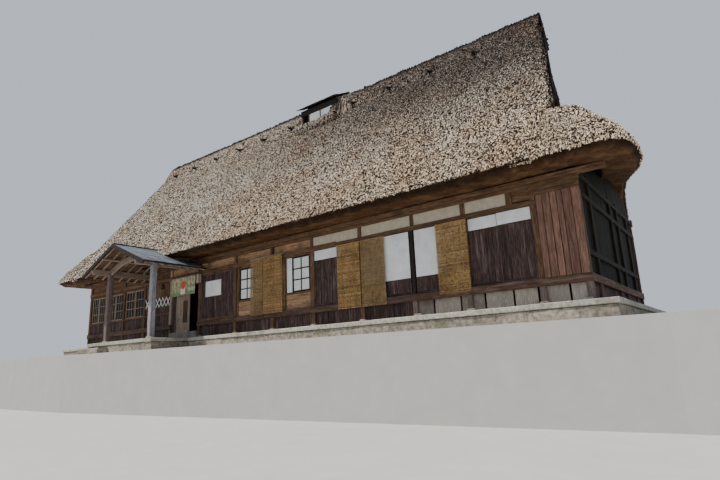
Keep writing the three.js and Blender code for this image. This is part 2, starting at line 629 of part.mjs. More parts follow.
// Porch: two posts carry side beams to the wall and a bowed front beam; a gabled slate roof covers it.
const porch = {
  west: -6110, east: -2910, postY: -5500, post: 160, beamLow: 3130, beamHigh: 3370, beamFront: -6250,
  ridgeX: -4510, ridgeZ: 4150, half: 2320, eaveZ: 3180, roof: 90, front: -6350,
};
function bowedBeam() {
  const outline = [];
  const steps = 10;
  const span = porch.east - porch.west;
  for (let i = 0; i <= steps; i += 1) {
    const t = i / steps;
    outline.push([porch.west + span * t, 3180 + 380 * Math.sin(Math.PI * t)]);
  }
  for (let i = steps; i >= 0; i -= 1) {
    const t = i / steps;
    outline.push([porch.west + span * t, 3370 + 400 * Math.sin(Math.PI * t)]);
  }
  return prismY(outline, porch.postY - 55, porch.postY + 55);
}
function porchFrame() {
  const half = porch.post / 2;
  const pieces = [bowedBeam()];
  for (const x of [porch.west, porch.east]) {
    pieces.push(box(x - half, x + half, porch.postY - half, porch.postY + half, groundToPlinth, porch.beamHigh - 20));
    pieces.push(box(x - 60, x + 60, porch.beamFront, -plateOuter - seatGap, porch.beamLow, porch.beamHigh));
  }
  return joined(pieces);
}
const porchSlope = (porch.ridgeZ - porch.eaveZ) / porch.half;
function porchRoof() {
  const top = (x) => porch.ridgeZ - Math.abs(x - porch.ridgeX) * porchSlope;
  const low = porch.ridgeX - porch.half;
  const high = porch.ridgeX + porch.half;
  const outline = [
    [low, top(low) - porch.roof], [porch.ridgeX, porch.ridgeZ - porch.roof], [high, top(high) - porch.roof],
    [high, top(high)], [porch.ridgeX, porch.ridgeZ], [low, top(low)],
  ];
  const slab = solid(prismY(outline, porch.front, -plateOuter - seatGap));
  return slab.subtract(slopeFrontRoom);
}
const porchRoofSolid = porchRoof();
const porchRoofRoom = porchRoofSolid.translate([0, 0, -seatGap]);
const porchFrameSolid = porchFrame().subtract(porchRoofRoom);
part("porch_roof", porchRoofSolid, slate);
part("porch_frame", porchFrameSolid, timber);

const lamp = { x: -2820, half: 65, z0: 2680, z1: 2950 };
part("porch_lamp", box(lamp.x - lamp.half, lamp.x + lamp.half, -wallHalfDepth - 125, -wallHalfDepth - seatGap,
  lamp.z0, lamp.z1), lightBoard);

// A small bell hangs on a rod from the porch's eastern beam side.
const bell = { x: -3530, y: -4700, radius: 60, height: 160, z: 2400 };
function hangingBell() {
  const topZ = porch.ridgeZ - Math.abs(bell.x - porch.ridgeX) * porchSlope - porch.roof;
  const body = new THREE.LatheGeometry([
    new THREE.Vector2(0, 0), new THREE.Vector2(bell.radius, 0), new THREE.Vector2(bell.radius * 0.8, bell.height * 0.7),
    new THREE.Vector2(bell.radius * 0.3, bell.height), new THREE.Vector2(0, bell.height),
  ], 12);
  body.rotateX(Math.PI / 2);
  body.translate(bell.x, bell.y, bell.z);
  return joined([body, box(bell.x - 6, bell.x + 6, bell.y - 6, bell.y + 6, bell.z + 60, topZ - 3)]);
}
part("porch_bell", hangingBell(), bark);

export default house;
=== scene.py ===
# A thatched farmhouse, dressed round its CAD frame. Metres: X runs east, Y into the house, Z up.

import bpy
import numpy as np
from mathutils import Matrix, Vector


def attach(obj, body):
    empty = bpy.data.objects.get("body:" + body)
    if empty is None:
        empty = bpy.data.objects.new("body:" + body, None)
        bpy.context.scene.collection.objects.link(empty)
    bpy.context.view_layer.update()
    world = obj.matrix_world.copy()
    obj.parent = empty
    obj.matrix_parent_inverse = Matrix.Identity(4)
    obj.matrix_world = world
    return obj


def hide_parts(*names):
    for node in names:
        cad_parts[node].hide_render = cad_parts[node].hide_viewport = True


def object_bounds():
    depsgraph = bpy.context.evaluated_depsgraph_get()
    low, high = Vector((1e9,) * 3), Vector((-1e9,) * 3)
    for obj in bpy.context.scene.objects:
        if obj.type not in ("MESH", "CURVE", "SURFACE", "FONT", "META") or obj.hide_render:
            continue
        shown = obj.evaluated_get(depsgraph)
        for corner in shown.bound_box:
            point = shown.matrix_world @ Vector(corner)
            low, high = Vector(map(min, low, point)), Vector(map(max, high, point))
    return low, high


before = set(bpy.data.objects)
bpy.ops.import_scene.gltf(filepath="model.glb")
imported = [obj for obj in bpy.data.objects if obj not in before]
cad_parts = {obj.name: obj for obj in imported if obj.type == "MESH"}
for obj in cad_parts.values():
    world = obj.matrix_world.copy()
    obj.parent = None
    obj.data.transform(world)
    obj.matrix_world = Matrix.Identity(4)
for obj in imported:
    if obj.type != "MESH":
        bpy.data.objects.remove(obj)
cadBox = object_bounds()
rng = np.random.default_rng(11)
east, north, up = np.eye(3)


# Camera and light

photoCamera = {"place": (14.69, -16.0, -0.59), "yaw": 36.64, "pitch": 13.01, "roll": -2.52, "lens": 25.4}
lighting = {"sun": 6.0, "sunAngle": 2.5, "sunFrom": (-0.35, -0.42, 1.1), "sunColour": (1.0, 0.955, 0.89),
            "sky": 0.75, "skyColour": (0.80, 0.88, 1.0, 1.0)}


def unit(vectors):
    return vectors / np.linalg.norm(vectors, axis=-1, keepdims=True)


# Links an object whose own X, Y and Z point along the three directions.
def addTurned(name, data, place, *directions):
    thing = bpy.data.objects.new(name, data)
    thing.matrix_world = Matrix.Translation(place) @ Matrix(directions).transposed().to_4x4()
    bpy.context.scene.collection.objects.link(thing)
    return thing


def addCamera():
    yaw, pitch, roll = np.radians([photoCamera[key] for key in ("yaw", "pitch", "roll")])
    ahead = np.array([-np.sin(yaw) * np.cos(pitch), np.cos(yaw) * np.cos(pitch), np.sin(pitch)])
    level = np.array([np.cos(yaw), np.sin(yaw), 0.0])
    upright = np.cross(level, ahead)
    right = np.cos(roll) * level + np.sin(roll) * upright
    top = -np.sin(roll) * level + np.cos(roll) * upright
    lens = bpy.data.cameras.new("photo_camera")
    lens.lens, lens.sensor_width = photoCamera["lens"], 36.0
    bpy.context.scene.camera = addTurned("photo_camera", lens, photoCamera["place"], right, top, -ahead)


def addLights():
    sun = bpy.data.lights.new("key_light", "SUN")
    sun.energy, sun.angle, sun.color = lighting["sun"], np.radians(lighting["sunAngle"]), lighting["sunColour"]
    back = unit(np.array(lighting["sunFrom"]))
    side = unit(np.cross(up, back))
    addTurned("key_light", sun, (0, 0, 0), side, np.cross(back, side), back)
    world = bpy.data.worlds.new("studio")
    world.use_nodes = True
    sky = world.node_tree.nodes["Background"].inputs
    sky["Color"].default_value, sky["Strength"].default_value = lighting["skyColour"], lighting["sky"]
    bpy.context.scene.world = world


# Meshes. A shape is its corner points, blocks of faces with the same number of corners, and for each point
# its grain (distance along, across and through a board) and tone (one number for each board).

# Makes one object of the shapes: trimmed to the frame's box, with its first blocks of faces shaded smooth.
def addPiece(name, finish, slotName, *shapes, body="house", replaces=None, smooth=0, trim=cadBox):
    points, blocks, grain, tone = gather(*shapes)
    lengths = [len(block) for block in blocks]
    sizes = np.repeat([block.shape[1] for block in blocks], lengths)
    mesh = bpy.data.meshes.new(name)
    mesh.vertices.add(len(points))
    mesh.vertices.foreach_set("co", np.clip(points, *trim).astype(np.float32).ravel())
    mesh.loops.add(sizes.sum())
    mesh.loops.foreach_set("vertex_index", np.concatenate([block.ravel() for block in blocks]).astype(np.int32))
    mesh.polygons.add(len(sizes))
    mesh.polygons.foreach_set("loop_start", (np.cumsum(sizes) - sizes).astype(np.int32))
    mesh.update(calc_edges=True)
    mesh.polygons.foreach_set("use_smooth", np.repeat(np.arange(len(blocks)) < smooth, lengths))
    for key, kind, field, values in (("grain", "FLOAT_VECTOR", "vector", grain),
                                     ("tone", "FLOAT", "value", tone)):
        layer = mesh.attributes.new(key, kind, "POINT")
        layer.data.foreach_set(field, np.asarray(values, np.float32).ravel())
    mesh.materials.append(finishes[finish])
    piece = bpy.data.objects.new(name, mesh)
    bpy.context.scene.collection.objects.link(piece)
    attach(piece, body)
    if replaces:
        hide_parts(replaces)
    return piece


# Puts several shapes into one, with the corner numbers moved on.
def gather(*shapes):
    offset, blocks = 0, []
    for shape in shapes:
        blocks += [block + offset for block in shape[1]]
        offset += len(shape[0])
    points, grain, tone = (np.concatenate([shape[k] for shape in shapes]) for k in (0, 2, 3))
    return points, blocks, grain, tone


# Faces of solids whose sections are closed rings: quads from each ring to the next, and one face on each end.
def ringFaces(solids, rings, corners):
    number = np.arange(solids * rings * corners).reshape(solids, rings, corners)
    turned = np.roll(number, -1, axis=2)
    quads = np.stack([number[:, :-1], turned[:, :-1], turned[:, 1:], number[:, 1:]], -1).reshape(-1, 4)
    return [quads, np.concatenate([number[:, 0, ::-1], number[:, -1]])]


def ringSolid(rings, grain, tone):
    return rings.reshape(-1, 3), ringFaces(1, *rings.shape[:2]), grain.reshape(-1, 3), tone.reshape(-1)


# Value noise from -1 to 1: a hashed number at each corner of a unit lattice, blended smoothly between
# corners.
def softNoise(points, scale, seed=0):
    place = np.asarray(points, float) * scale + seed * 17.31
    cell = np.floor(place).astype(np.int64)
    part = place - cell
    part = part * part * (3 - 2 * part)
    total = np.zeros(place.shape[:-1])
    for corner in np.ndindex(2, 2, 2):
        key = ((cell + corner) * np.array([73856093, 19349663, 83492791])).sum(-1) + seed * 7919
        key = (key ^ (key >> 15)) * 2246822519 & 0xFFFFFFFF
        key = (key ^ (key >> 13)) * 3266489917 & 0xFFFFFFFF
        weight = np.prod(np.where(corner, part, 1 - part), axis=-1)
        total += weight * (((key >> 9) & 0xFFFF) / 32767.5 - 1)
    return total


# Carries a section along paths: each point is path + flat * across + deep * through, where deep stands
# square to the path and to wide, and flat to both. The section is a rectangle with cut corners, or a
# regular polygon.
def sweep(paths, wide, width, depth, chamfer=0.006, sides=0, wobble=0.0015):
    paths = np.asarray(paths, float)
    count, rings, _ = paths.shape
    wide = np.broadcast_to(np.asarray(wide, float), (count, 3))
    width, depth = (np.broadcast_to(np.asarray(size, float), (count,))[:, None] / 2 for size in (width, depth))
    if sides:
        turn = 2 * np.pi * (np.arange(sides) + 0.5) / sides
        across, through = width * np.cos(turn), depth * np.sin(turn)
    else:
        cut = np.minimum(chamfer, 0.45 * np.minimum(width, depth))
        signX, signY, cutX = np.array([(1, 1, 1, -1, -1, -1, -1, 1), (-1, 1, 1, 1, 1, -1, -1, -1),
                                       (0, 0, 1, 1, 0, 0, 1, 1)])
        across, through = signX * (width - cut * cutX), signY * (depth - cut * (1 - cutX))
    step = np.gradient(paths, axis=1)
    length = np.linalg.norm(step, axis=-1)
    along = step / length[..., None]
    deep = unit(np.cross(along, wide[:, None]))
    flat = np.cross(deep, along)
    run = np.cumsum(length, axis=1) - length[:, :1]
    phase = rng.uniform(0, 6.28, (count, 1, 4))
    wave = np.sin(run[..., None] * np.array([1.7, 4.1, 2.3, 5.3]) + phase) * wobble
    across = across[:, None] + (wave[..., 0] + wave[..., 1] * 0.5)[..., None]
    through = through[:, None] + (wave[..., 2] + wave[..., 3] * 0.5)[..., None]
    jitter = rng.uniform(-0.5, 0.5, across.shape + (2,)) * wobble
    across, through = across + jitter[..., 0], through + jitter[..., 1]
    points = paths[:, :, None] + flat[:, :, None] * across[..., None] + deep[:, :, None] * through[..., None]
    shift = rng.uniform(0, 40, (count, 1, 1, 3))
    grain = np.stack([np.broadcast_to(run[..., None], across.shape), across, through], -1) + shift
    tone = np.broadcast_to(rng.uniform(0, 1, (count, 1, 1)), across.shape)
    return points.reshape(-1, 3), ringFaces(*across.shape), grain.reshape(-1, 3), tone.reshape(-1)


# Straight bars between pairs of points.
def bars(starts, ends, wide, width, depth, rings=5, **more):
    starts, ends = np.broadcast_arrays(*(np.atleast_2d(np.asarray(points, float)) for points in (starts, ends)))
    share = np.linspace(0, 1, rings)[None, :, None]
    return sweep(starts[:, None] * (1 - share) + ends[:, None] * share, wide, width, depth, **more)


# Boards side by side from low to high, running along their length. The widths vary and add up to the whole.
def boards(corner, acrossWay, alongWay, wide, long, count, thick, gap=0.004, uneven=0.25, ragged=0.0,
           lift=0.003, **more):
    share = 1 + rng.uniform(-uneven, uneven, count)
    edges = np.concatenate([[0], np.cumsum(share)]) / share.sum() * wide
    centre, size = (edges[1:] + edges[:-1]) / 2, np.diff(edges) - gap
    out = np.cross(alongWay, acrossWay)
    low = np.asarray(corner, float) + centre[:, None] * acrossWay + rng.uniform(-lift, lift, (count, 1)) * out
    low = low + rng.uniform(0, ragged, (count, 1)) * np.asarray(alongWay)
    reach = long(low) if callable(long) else long
    high = low + (reach - rng.uniform(0, ragged, (count, 1))) * np.asarray(alongWay)
    return bars(low, high, acrossWay, size, thick, **more)


# A frame of two stiles and two rails round a rectangle that faces the front or the back, and the bars in it.
def frameBars(x0, x1, z0, z1, y, stile, rail, depth, columns=1, rows=1, muntin=0.02):
    left, right, low, high = x0 + stile, x1 - stile, z0 + rail, z1 - rail
    ends = [([x, y, z0], [x, y, z1]) for x in (x0 + stile / 2, x1 - stile / 2)]
    shapes = [bars(*zip(*ends), east, stile, depth, wobble=0.0006)]
    ends = [([left, y, z], [right, y, z]) for z in (z0 + rail / 2, z1 - rail / 2)]
    shapes.append(bars(*zip(*ends), up, rail, depth * 0.92, wobble=0.0006))
    for x in np.linspace(left, right, columns + 1)[1:-1]:
        shapes.append(bars([x, y, low], [x, y, high], east, muntin, depth * 0.7, wobble=0.0004))
    for z in np.linspace(low, high, rows + 1)[1:-1]:
        shapes.append(bars([left, y, z], [right, y, z], up, muntin, depth * 0.64, wobble=0.0004))
    return gather(*shapes)


# Rounded stones: the point at angles a and b is the centre plus half the size times signed powers of cosine
# and sine, which squares the ball up, pushed in and out by noise.
def boulders(centres, sizes, square=0.45, rough=0.06, around=16, upward=9):
    centres = np.atleast_2d(centres).astype(float)
    signed = lambda value: np.sign(value) * np.abs(value) ** square
    a, b = np.meshgrid(2 * np.pi * np.arange(around) / around, np.linspace(-np.pi / 2, np.pi / 2, upward)[1:-1])
    level = signed(np.cos(b))
    ball = np.stack([level * signed(np.cos(a)), level * signed(np.sin(a)), signed(np.sin(b))], -1)
    ball = np.concatenate([ball.reshape(-1, 3), [-up, up]])
    points = centres[:, None] + ball * np.array(sizes) / 2
    push = 1 + rough * softNoise(points, 4.0, 3) + rough * 0.5 * softNoise(points, 11.0, 4)
    points = centres[:, None] + (points - centres[:, None]) * np.minimum(push, 1.0)[..., None]
    quads = ringFaces(1, upward - 2, around)[0]
    first, last = np.arange(around), (upward - 3) * around + np.arange(around)
    foot = len(ball) - 2
    low = np.stack([0 * first + foot, np.roll(first, -1), first], -1)
    high = np.stack([0 * first + foot + 1, last, np.roll(last, -1)], -1)
    step = (np.arange(len(centres)) * len(ball))[:, None, None]
    blocks = [(quads + step).reshape(-1, 4), (np.concatenate([low, high]) + step).reshape(-1, 3)]
    tone = np.repeat(rng.uniform(0, 1, len(centres)), len(ball))
    return points.reshape(-1, 3), blocks, points.reshape(-1, 3), tone


# Finishes. A colour is six hex digits, and several colours run from dark to light.

def rgb(digits):
    part = np.array([int(digits[k:k + 2], 16) for k in (0, 2, 4)]) / 255
    return (*np.where(part > 0.04045, ((part + 0.055) / 1.055) ** 2.4, part / 12.92).tolist(), 1.0)


def newMaterial(name):
    material = bpy.data.materials.new(name)
    material.use_nodes = True
    return material, material.node_tree, material.node_tree.nodes["Principled BSDF"]


def addNode(tree, kind, inputs=None, **settings):
    node = tree.nodes.new("ShaderNode" + kind)
    for key, value in settings.items():
        setattr(node, key, value)
    for key, value in (inputs or {}).items():
        if isinstance(value, bpy.types.NodeSocket):
            tree.links.new(value, node.inputs[key])
        else:
            node.inputs[key].default_value = value
    return node


def attributeOf(tree, name, output):
    return addNode(tree, "Attribute", attribute_name=name).outputs[output]


def stretched(tree, place, scale):
    return addNode(tree, "Mapping", {"Vector": place, "Scale": scale}).outputs[0]


def noiseOf(tree, place, scale, detail=2.0, rough=0.5, distort=0.0):
    return addNode(tree, "TexNoise", {"Vector": place, "Scale": scale, "Detail": detail, "Roughness": rough,
                                      "Distortion": distort}).outputs["Fac"]


def mathOf(tree, way, *values):
    return addNode(tree, "Math", dict(enumerate(values)), operation=way).outputs[0]


def rampOf(tree, factor, stops):
    node = addNode(tree, "ValToRGB", {"Fac": factor})
    stopsIn = node.color_ramp.elements
    while len(stopsIn) < len(stops):
        stopsIn.new(0.5)
    for stop, (place, colour) in zip(stopsIn, stops):
        stop.position, stop.color = place, rgb(colour) if isinstance(colour, str) else colour
    return node.outputs["Color"]


# A grey that climbs from black to the amount while the factor goes from low to high.
def shareOf(tree, factor, low, high, amount):
    return rampOf(tree, factor, [(low, (0, 0, 0, 1)), (high, (amount, amount, amount, 1))])


def mixOf(tree, factor, first, second, way="MIX"):
    second = rgb(second) if isinstance(second, str) else second
    return addNode(tree, "Mix", {0: factor, 6: first, 7: second}, data_type="RGBA", blend_type=way).outputs[2]


def scaledBy(tree, colour, amount):
    return addNode(tree, "VectorMath", {0: colour, "Scale": amount}, operation="SCALE").outputs[0]


def setSurface(tree, shader, colour, rough, specular, height, strength, distance):
    tree.links.new(colour, shader.inputs["Base Color"])
    shader.inputs["Roughness"].default_value = rough
    shader.inputs["Specular IOR Level"].default_value = specular
    relief = addNode(tree, "Bump", {"Height": height, "Strength": strength, "Distance": distance})
    tree.links.new(relief.outputs[0], shader.inputs["Normal"])


# One recipe for most finishes: stretched noise runs through a ramp of colours, each board is a little
# lighter or darker by its tone, stains lie over it by slower noise, and the same noise makes the relief.
def makeFinish(name, colours, places=(0.3, 0.7), shade=(0.9, 1.1), stain=None, streak=None, broad=None,
               fine=5.0, stretch=(1, 1, 1), place="object", rough=0.85, bump=0.5, depth=0.004, metal=0.0):
    material, tree, shader = newMaterial(name)
    objectPlace = addNode(tree, "TexCoord").outputs["Object"]
    start = attributeOf(tree, "grain", "Vector") if place == "grain" else objectPlace
    noise = noiseOf(tree, stretched(tree, start, stretch), fine, 8.0, 0.66)
    colour = rampOf(tree, noise, list(zip(places, colours.split())))
    if streak:  # long marks of weather along the grain
        marks = noiseOf(tree, stretched(tree, start, (0.55, 6.0, 6.0)), 2.4, 4.0, 0.6)
        colour = mixOf(tree, shareOf(tree, marks, 0.5, 0.68, streak[1]), colour, streak[0])
    if broad:  # a slower change of colour over the whole piece
        share = shareOf(tree, noiseOf(tree, objectPlace, broad[1], 3.0), 0.38, 0.66, broad[2])
        colour = mixOf(tree, share, colour, broad[0])
    tone = attributeOf(tree, "tone", "Fac")
    lift = addNode(tree, "MapRange", {"Value": tone, "To Min": shade[0], "To Max": shade[1]}).outputs[0]
    colour = scaledBy(tree, colour, lift)
    if stain:
        tint, size, edge, amount = stain
        share = shareOf(tree, noiseOf(tree, objectPlace, size, 6.0, 0.6), edge, min(edge + 0.16, 1), amount)
        colour = mixOf(tree, share, colour, tint)
    setSurface(tree, shader, colour, rough, 0.2 if rough > 0.6 else 0.5, noise, bump, depth)
    shader.inputs["Metallic"].default_value = metal
    return material


# Weathered wood: its fibres are long and narrow. The stain is a colour, how many to the metre, where it
# starts and how strong it is; the streak is a colour and its strength.
def wood(name, colours, shade, stain=None, streak=None, places=(0.28, 0.5, 0.74), **more):
    return makeFinish(name, colours, places, shade, stain, streak, stretch=(0.9, 14, 14), place="grain", **more)


late, even = (0.3, 0.52, 0.76), (0.3, 0.5, 0.74)  # where the three colours lie in the noise
reedLook = {"places": (0.3, 0.5, 0.72), "fine": 4.0, "stretch": (3, 30, 30), "place": "grain", "rough": 0.7,
            "bump": 0.3, "depth": 0.001}
finishes = {
    "timber": wood("weathered_timber", "30221a 5c4533 8c7259", (0.75, 1.2), ("3a2b22", 1.3, 0.5, 0.6),
                   ("8c745c", 0.4)),
    "post": wood("pale_post", "564a42 8e7e70 baac9c", (0.85, 1.1), ("5c4c40", 1.1, 0.54, 0.6), ("5a4e46", 0.5)),
    "brown": wood("brown_post", "3e3532 6a5d58 92847a", (0.85, 1.1), ("483a32", 1.1, 0.54, 0.6),
                  ("3c322e", 0.5)),
    "grey": wood("grey_post", "545254 8e8e94 bcbec6", (0.9, 1.08), ("585250", 1.1, 0.54, 0.5), ("545052", 0.6)),
    "sill": wood("red_sill", "2e201b 503c33 7a6558", (0.85, 1.1), ("362a24", 1.5, 0.5, 0.6), ("8c786c", 0.45)),
    "oldSill": wood("brown_sill", "2c211c 503e34 7c6858", (0.85, 1.1), ("322822", 1.5, 0.5, 0.6),
                    ("867464", 0.45)),
    "dark": wood("dark_boards", "1e1616 3c2e2c 705e5a", (0.65, 1.3), ("544440", 0.9, 0.54, 0.4),
                 ("887a76", 0.36), late),
    "red": wood("red_planks", "48322a 7a5c4f a08070", (0.75, 1.15), ("503a30", 1.4, 0.54, 0.5),
                ("4c362e", 0.65), (0.28, 0.5, 0.76), fine=4.0),
    "light": wood("light_boards", "624832 a07f60 ccae8c", (0.7, 1.2), ("543e2c", 1.2, 0.5, 0.6),
                  ("4a3628", 0.65)),
    # The next two finishes are painted near black, with a green tint: painted shade of the end walls under the
    # skirts.
    "shadePost": wood("painted_shade_post", "12100d 221e18 3e382e", (0.8, 1.15), ("262a22", 1.3, 0.5, 0.6), places=late),
    "shadeBoards": wood("painted_shade_boards", "080705 100e09 221d13", (0.7, 1.3), ("1e241c", 0.9, 0.54, 0.5), places=late),
    "pale": wood("pale_skirting", "6e6860 969086 b8b2a8", (0.6, 1.15), ("584e46", 1.5, 0.5, 0.7), places=late),
    "black": wood("black_sash", "161414 342e2c", (0.9, 1.1), places=(0.3, 0.7)),
    "paper": makeFinish("white_panel", "ced2d4 e8eaea", shade=(0.95, 1.03), stain=("b4b6b0", 1.6, 0.6, 0.5),
                        fine=3.0, rough=0.6, bump=0.12, depth=0.002),
    "plaster": makeFinish("plaster", "a69e8a c0b8a6", shade=(0.95, 1.05), stain=("928874", 1.2, 0.52, 0.6),
                          fine=6.0, rough=0.9),
    "pane": makeFinish("pane", "ced4d0 e8ecea", shade=(0.9, 1.05), stain=("b0b4ac", 2.0, 0.6, 0.4), fine=2.0,
                       rough=0.22, bump=0.05, depth=0.001),
    # Near black: painted shade of the unlit room behind the lattice glass.
    "gloom": makeFinish("dark_pane", "0c0b0b 1e1b19", shade=(0.8, 1.1), fine=2.0, rough=0.65, bump=0.05,
                        depth=0.001),
    "reed": makeFinish("reed", "6c5232 b08d5c debe8a", shade=(0.5, 1.3), stain=("4c3a26", 17.0, 0.48, 0.7),
                       broad=("6e5434", 2.0, 0.5), **reedLook),
    "oldReed": makeFinish("old_reed", "624e34 9a7e58 c0a67c", shade=(0.6, 1.2),
                          stain=("523e2c", 14.0, 0.48, 0.6), broad=("7c6244", 1.5, 0.5), **reedLook),
    "slate": makeFinish("roof_sheet", "383e46 525962 787e84", late, (0.75, 1.2), ("423f3c", 1.4, 0.55, 0.5),
                        fine=3.0, stretch=(1, 3, 3), place="grain", rough=0.5, bump=0.35, depth=0.003),
    "stone": makeFinish("kerb_stone", "78766c a09d92 c4c0b4", even, (0.88, 1.1), ("706c5c", 1.3, 0.52, 0.7),
                        fine=12.0, rough=0.9, bump=0.7, depth=0.01),
    "rough": makeFinish("rough_stone", "5c564e 8e867a b8aea0", even, (0.75, 1.15), ("5c5a42", 1.6, 0.52, 0.7),
                        fine=9.0, rough=0.92, bump=0.9, depth=0.02),
    "earth": makeFinish("packed_earth", "7e7668 a09686", shade=(0.95, 1.05), stain=("6e6454", 1.0, 0.5, 0.5),
                        rough=0.95, depth=0.01),
    "iron": makeFinish("bell_iron", "22201e 4a423a", stain=("603e28", 9.0, 0.55, 0.6), fine=30.0, rough=0.55,
                       bump=0.4, depth=0.001, metal=0.7),
    "floor": makeFinish("pale_floor", "acaaa6 b4b2ae", shade=(1.0, 1.0), fine=2.0, rough=0.9, bump=0.05,
                        depth=0.002),
}


# Thatch: pale straw ends over dark gaps on the slopes, browner cut ends where the tone is above 0.4. Grain
# holds the place on the slope and, as its third number, how far a point stands out of the gaps: by it the gaps
# and the tufts' feet are painted darker, as painted shade, and the tips lighter, as painted light.
def thatchFinish(name, low, middle, high, pale, moss):
    material, tree, shader = newMaterial(name)

    def sums(way, *values):
        return mathOf(tree, way, *values)

    def spread(value, fromLow, fromHigh, toLow, toHigh):
        ends = {"From Min": fromLow, "From Max": fromHigh, "To Min": toLow, "To Max": toHigh}
        return addNode(tree, "MapRange", {"Value": value, **ends}, interpolation_type="SMOOTHSTEP").outputs[0]

    def darkened(factor, colour, tint):
        return mixOf(tree, factor, colour, mixOf(tree, 1.0, colour, tint, "MULTIPLY"))

    def centred(value, middle, amount):
        return sums("MULTIPLY", sums("SUBTRACT", value, middle), amount)

    def partOf(vector, axis):
        return addNode(tree, "SeparateXYZ", {"Vector": vector}).outputs[axis]

    objectPlace = addNode(tree, "TexCoord").outputs["Object"]
    x, z = partOf(objectPlace, "X"), partOf(objectPlace, "Z")
    grain, tone = attributeOf(tree, "grain", "Vector"), attributeOf(tree, "tone", "Fac")
    flat = stretched(tree, grain, (1.0, 0.6, 0.0))
    fleck = noiseOf(tree, flat, 36.0, 2.0, 0.5, 0.4)
    cells = addNode(tree, "TexVoronoi", {"Vector": flat, "Scale": 25.0, "Randomness": 1.0}).outputs
    ends = sums("MULTIPLY", sums("SUBTRACT", 0.45, cells["Distance"]), 0.5)
    mixed = sums("ADD", sums("MULTIPLY_ADD", fleck, 1.7, -0.35), ends)
    mixed = sums("ADD", mixed, centred(partOf(cells["Color"], "X"), 0.5, 0.3))
    # painted shade and light: the lower a point lies among the tufts, the darker it is painted
    mixed = sums("ADD", mixed, centred(partOf(grain, "Z"), 0.45, 0.5))
    mixed = sums("ADD", mixed, centred(noiseOf(tree, flat, 11.0, 1.0), 0.5, 0.5))
    outer = rampOf(tree, mixed, [(0.34, low), (0.44, middle), (0.52, high), (0.63, pale)])
    outer = darkened(shareOf(tree, noiseOf(tree, objectPlace, 0.7, 4.0), 0.4, 0.66, 0.6), outer, "e8d3c2")
    outer = darkened(shareOf(tree, noiseOf(tree, objectPlace, 1.7, 5.0), 0.5, 0.74, 0.4), outer, moss)
    old = sums("MULTIPLY", spread(z, 5.0, 9.2, 0.0, 1.0), spread(x, -6.0, 8.0, 0.1, 1.0))
    outer = darkened(old, outer, "8e888a")
    lowEast = sums("MULTIPLY", spread(z, 4.4, 7.0, 0.8, 0.0), spread(x, -4.0, 4.0, 0.1, 1.0))
    outer = darkened(lowEast, outer, "fff6ea")
    outer = mixOf(tree, spread(z, 10.22, 10.42, 0.0, 0.88), outer, low)  # painted shade: the ridge's top is painted almost black
    strand = noiseOf(tree, stretched(tree, grain, (1.2, 16.0, 1.0)), 4.0, 7.0, 0.7)
    cut = rampOf(tree, strand, [(0.3, "241810"), (0.5, "543a26"), (0.7, "825f40")])
    cut = mixOf(tree, shareOf(tree, noiseOf(tree, objectPlace, 2.6, 5.0), 0.45, 0.62, 0.6), cut, "806346")
    cut = darkened(spread(z, 5.1, 5.9, 0.0, 0.95), cut, "5c5e68")  # painted shade: the gable edges are painted almost black, with a cool tint
    cut = scaledBy(tree, cut, spread(tone, 0.5, 1.0, 0.3, 1.3))  # painted shade: darkest just under the lip
    colour = mixOf(tree, shareOf(tree, tone, 0.1, 0.42, 1), outer, cut)
    setSurface(tree, shader, colour, 0.95, 0.15, mixed, 1.0, 0.06)
    return material


finishes["thatch"] = thatchFinish("thatch", "16120f", "64574b", "e0ceb8", "fff8e8", "b0a8a0")
finishes["bark"] = thatchFinish("old_bark", "1c1714", "6c5e52", "c8b8a6", "f4eada", "a09e86")
print("finishes ready:", len(finishes))


# Stage: a terrace whose front edge bends, and a lower floor.
def addStage():
    outline = np.array([(-90, -6.5), (-7.5, -6.5), (13.5, -4.65), (90, -4.65), (90, 90), (-90, 90)], float)
    rings = np.stack([np.c_[outline, np.full(6, -2.2)], np.c_[outline, np.zeros(6)]])
    corners = np.array([(-200, -200, -2.2), (200, -200, -2.2), (200, 200, -2.2), (-200, 200, -2.2)], float)
    floor = (corners, [np.arange(4).reshape(1, 4)], corners, np.ones(4))
    for name, shape in (("terrace", ringSolid(rings, rings, np.ones((2, 6)))), ("floor", floor)):
        addPiece(name, "floor", "stone", shape, trim=(-300, 300))


addCamera()
addLights()
addStage()
print("camera, light and stage ready")


# Thatched roof

roof = {"eaveY": 4.8, "eaveZ": 3.73, "ridgeZ": 10.43, "vergeFoot": {-1: 11.65, 1: 10.65}, "vergeFootZ": 5.5,
        "ridgeEnd": {"east": 10.72, "west": 10.45}, "columns": 200, "steps": 92, "vergeRound": 0.13,
        "relief": 0.05}
roofSlope = (roof["ridgeZ"] - roof["eaveZ"]) / roof["eaveY"]


# How far the straw lies in from the smooth roof: slow hollows plus tufts, all as noise of the place.
def strawRelief(points):
    slow = softNoise(points, 0.7, 1) * 0.5 + softNoise(points, 2.4, 2) * 0.28
    tufts = softNoise(points * np.array([1.0, 0.8, 0.8]), 9.0, 5) * 0.3 + softNoise(points, 17.0, 6) * 0.16
    return roof["relief"] * (0.5 + slow + tufts)


# The normal of a grid of rings, from the two directions along it, turned to face away from each ring's
# middle.
def ringNormals(rings):
    around = np.roll(rings, -1, axis=1) - np.roll(rings, 1, axis=1)
    normal = np.cross(around, np.gradient(rings, axis=0))
    normal /= np.maximum(np.linalg.norm(normal, axis=-1), 1e-9)[..., None]
    inner = (normal * (rings - rings.mean(axis=1, keepdims=True))).sum(-1).mean()
    return normal if inner > 0 else -normal


def smoothStep(value, low, high):
    share = np.clip((value - low) / (high - low), 0, 1)
    return share * share * (3 - 2 * share)


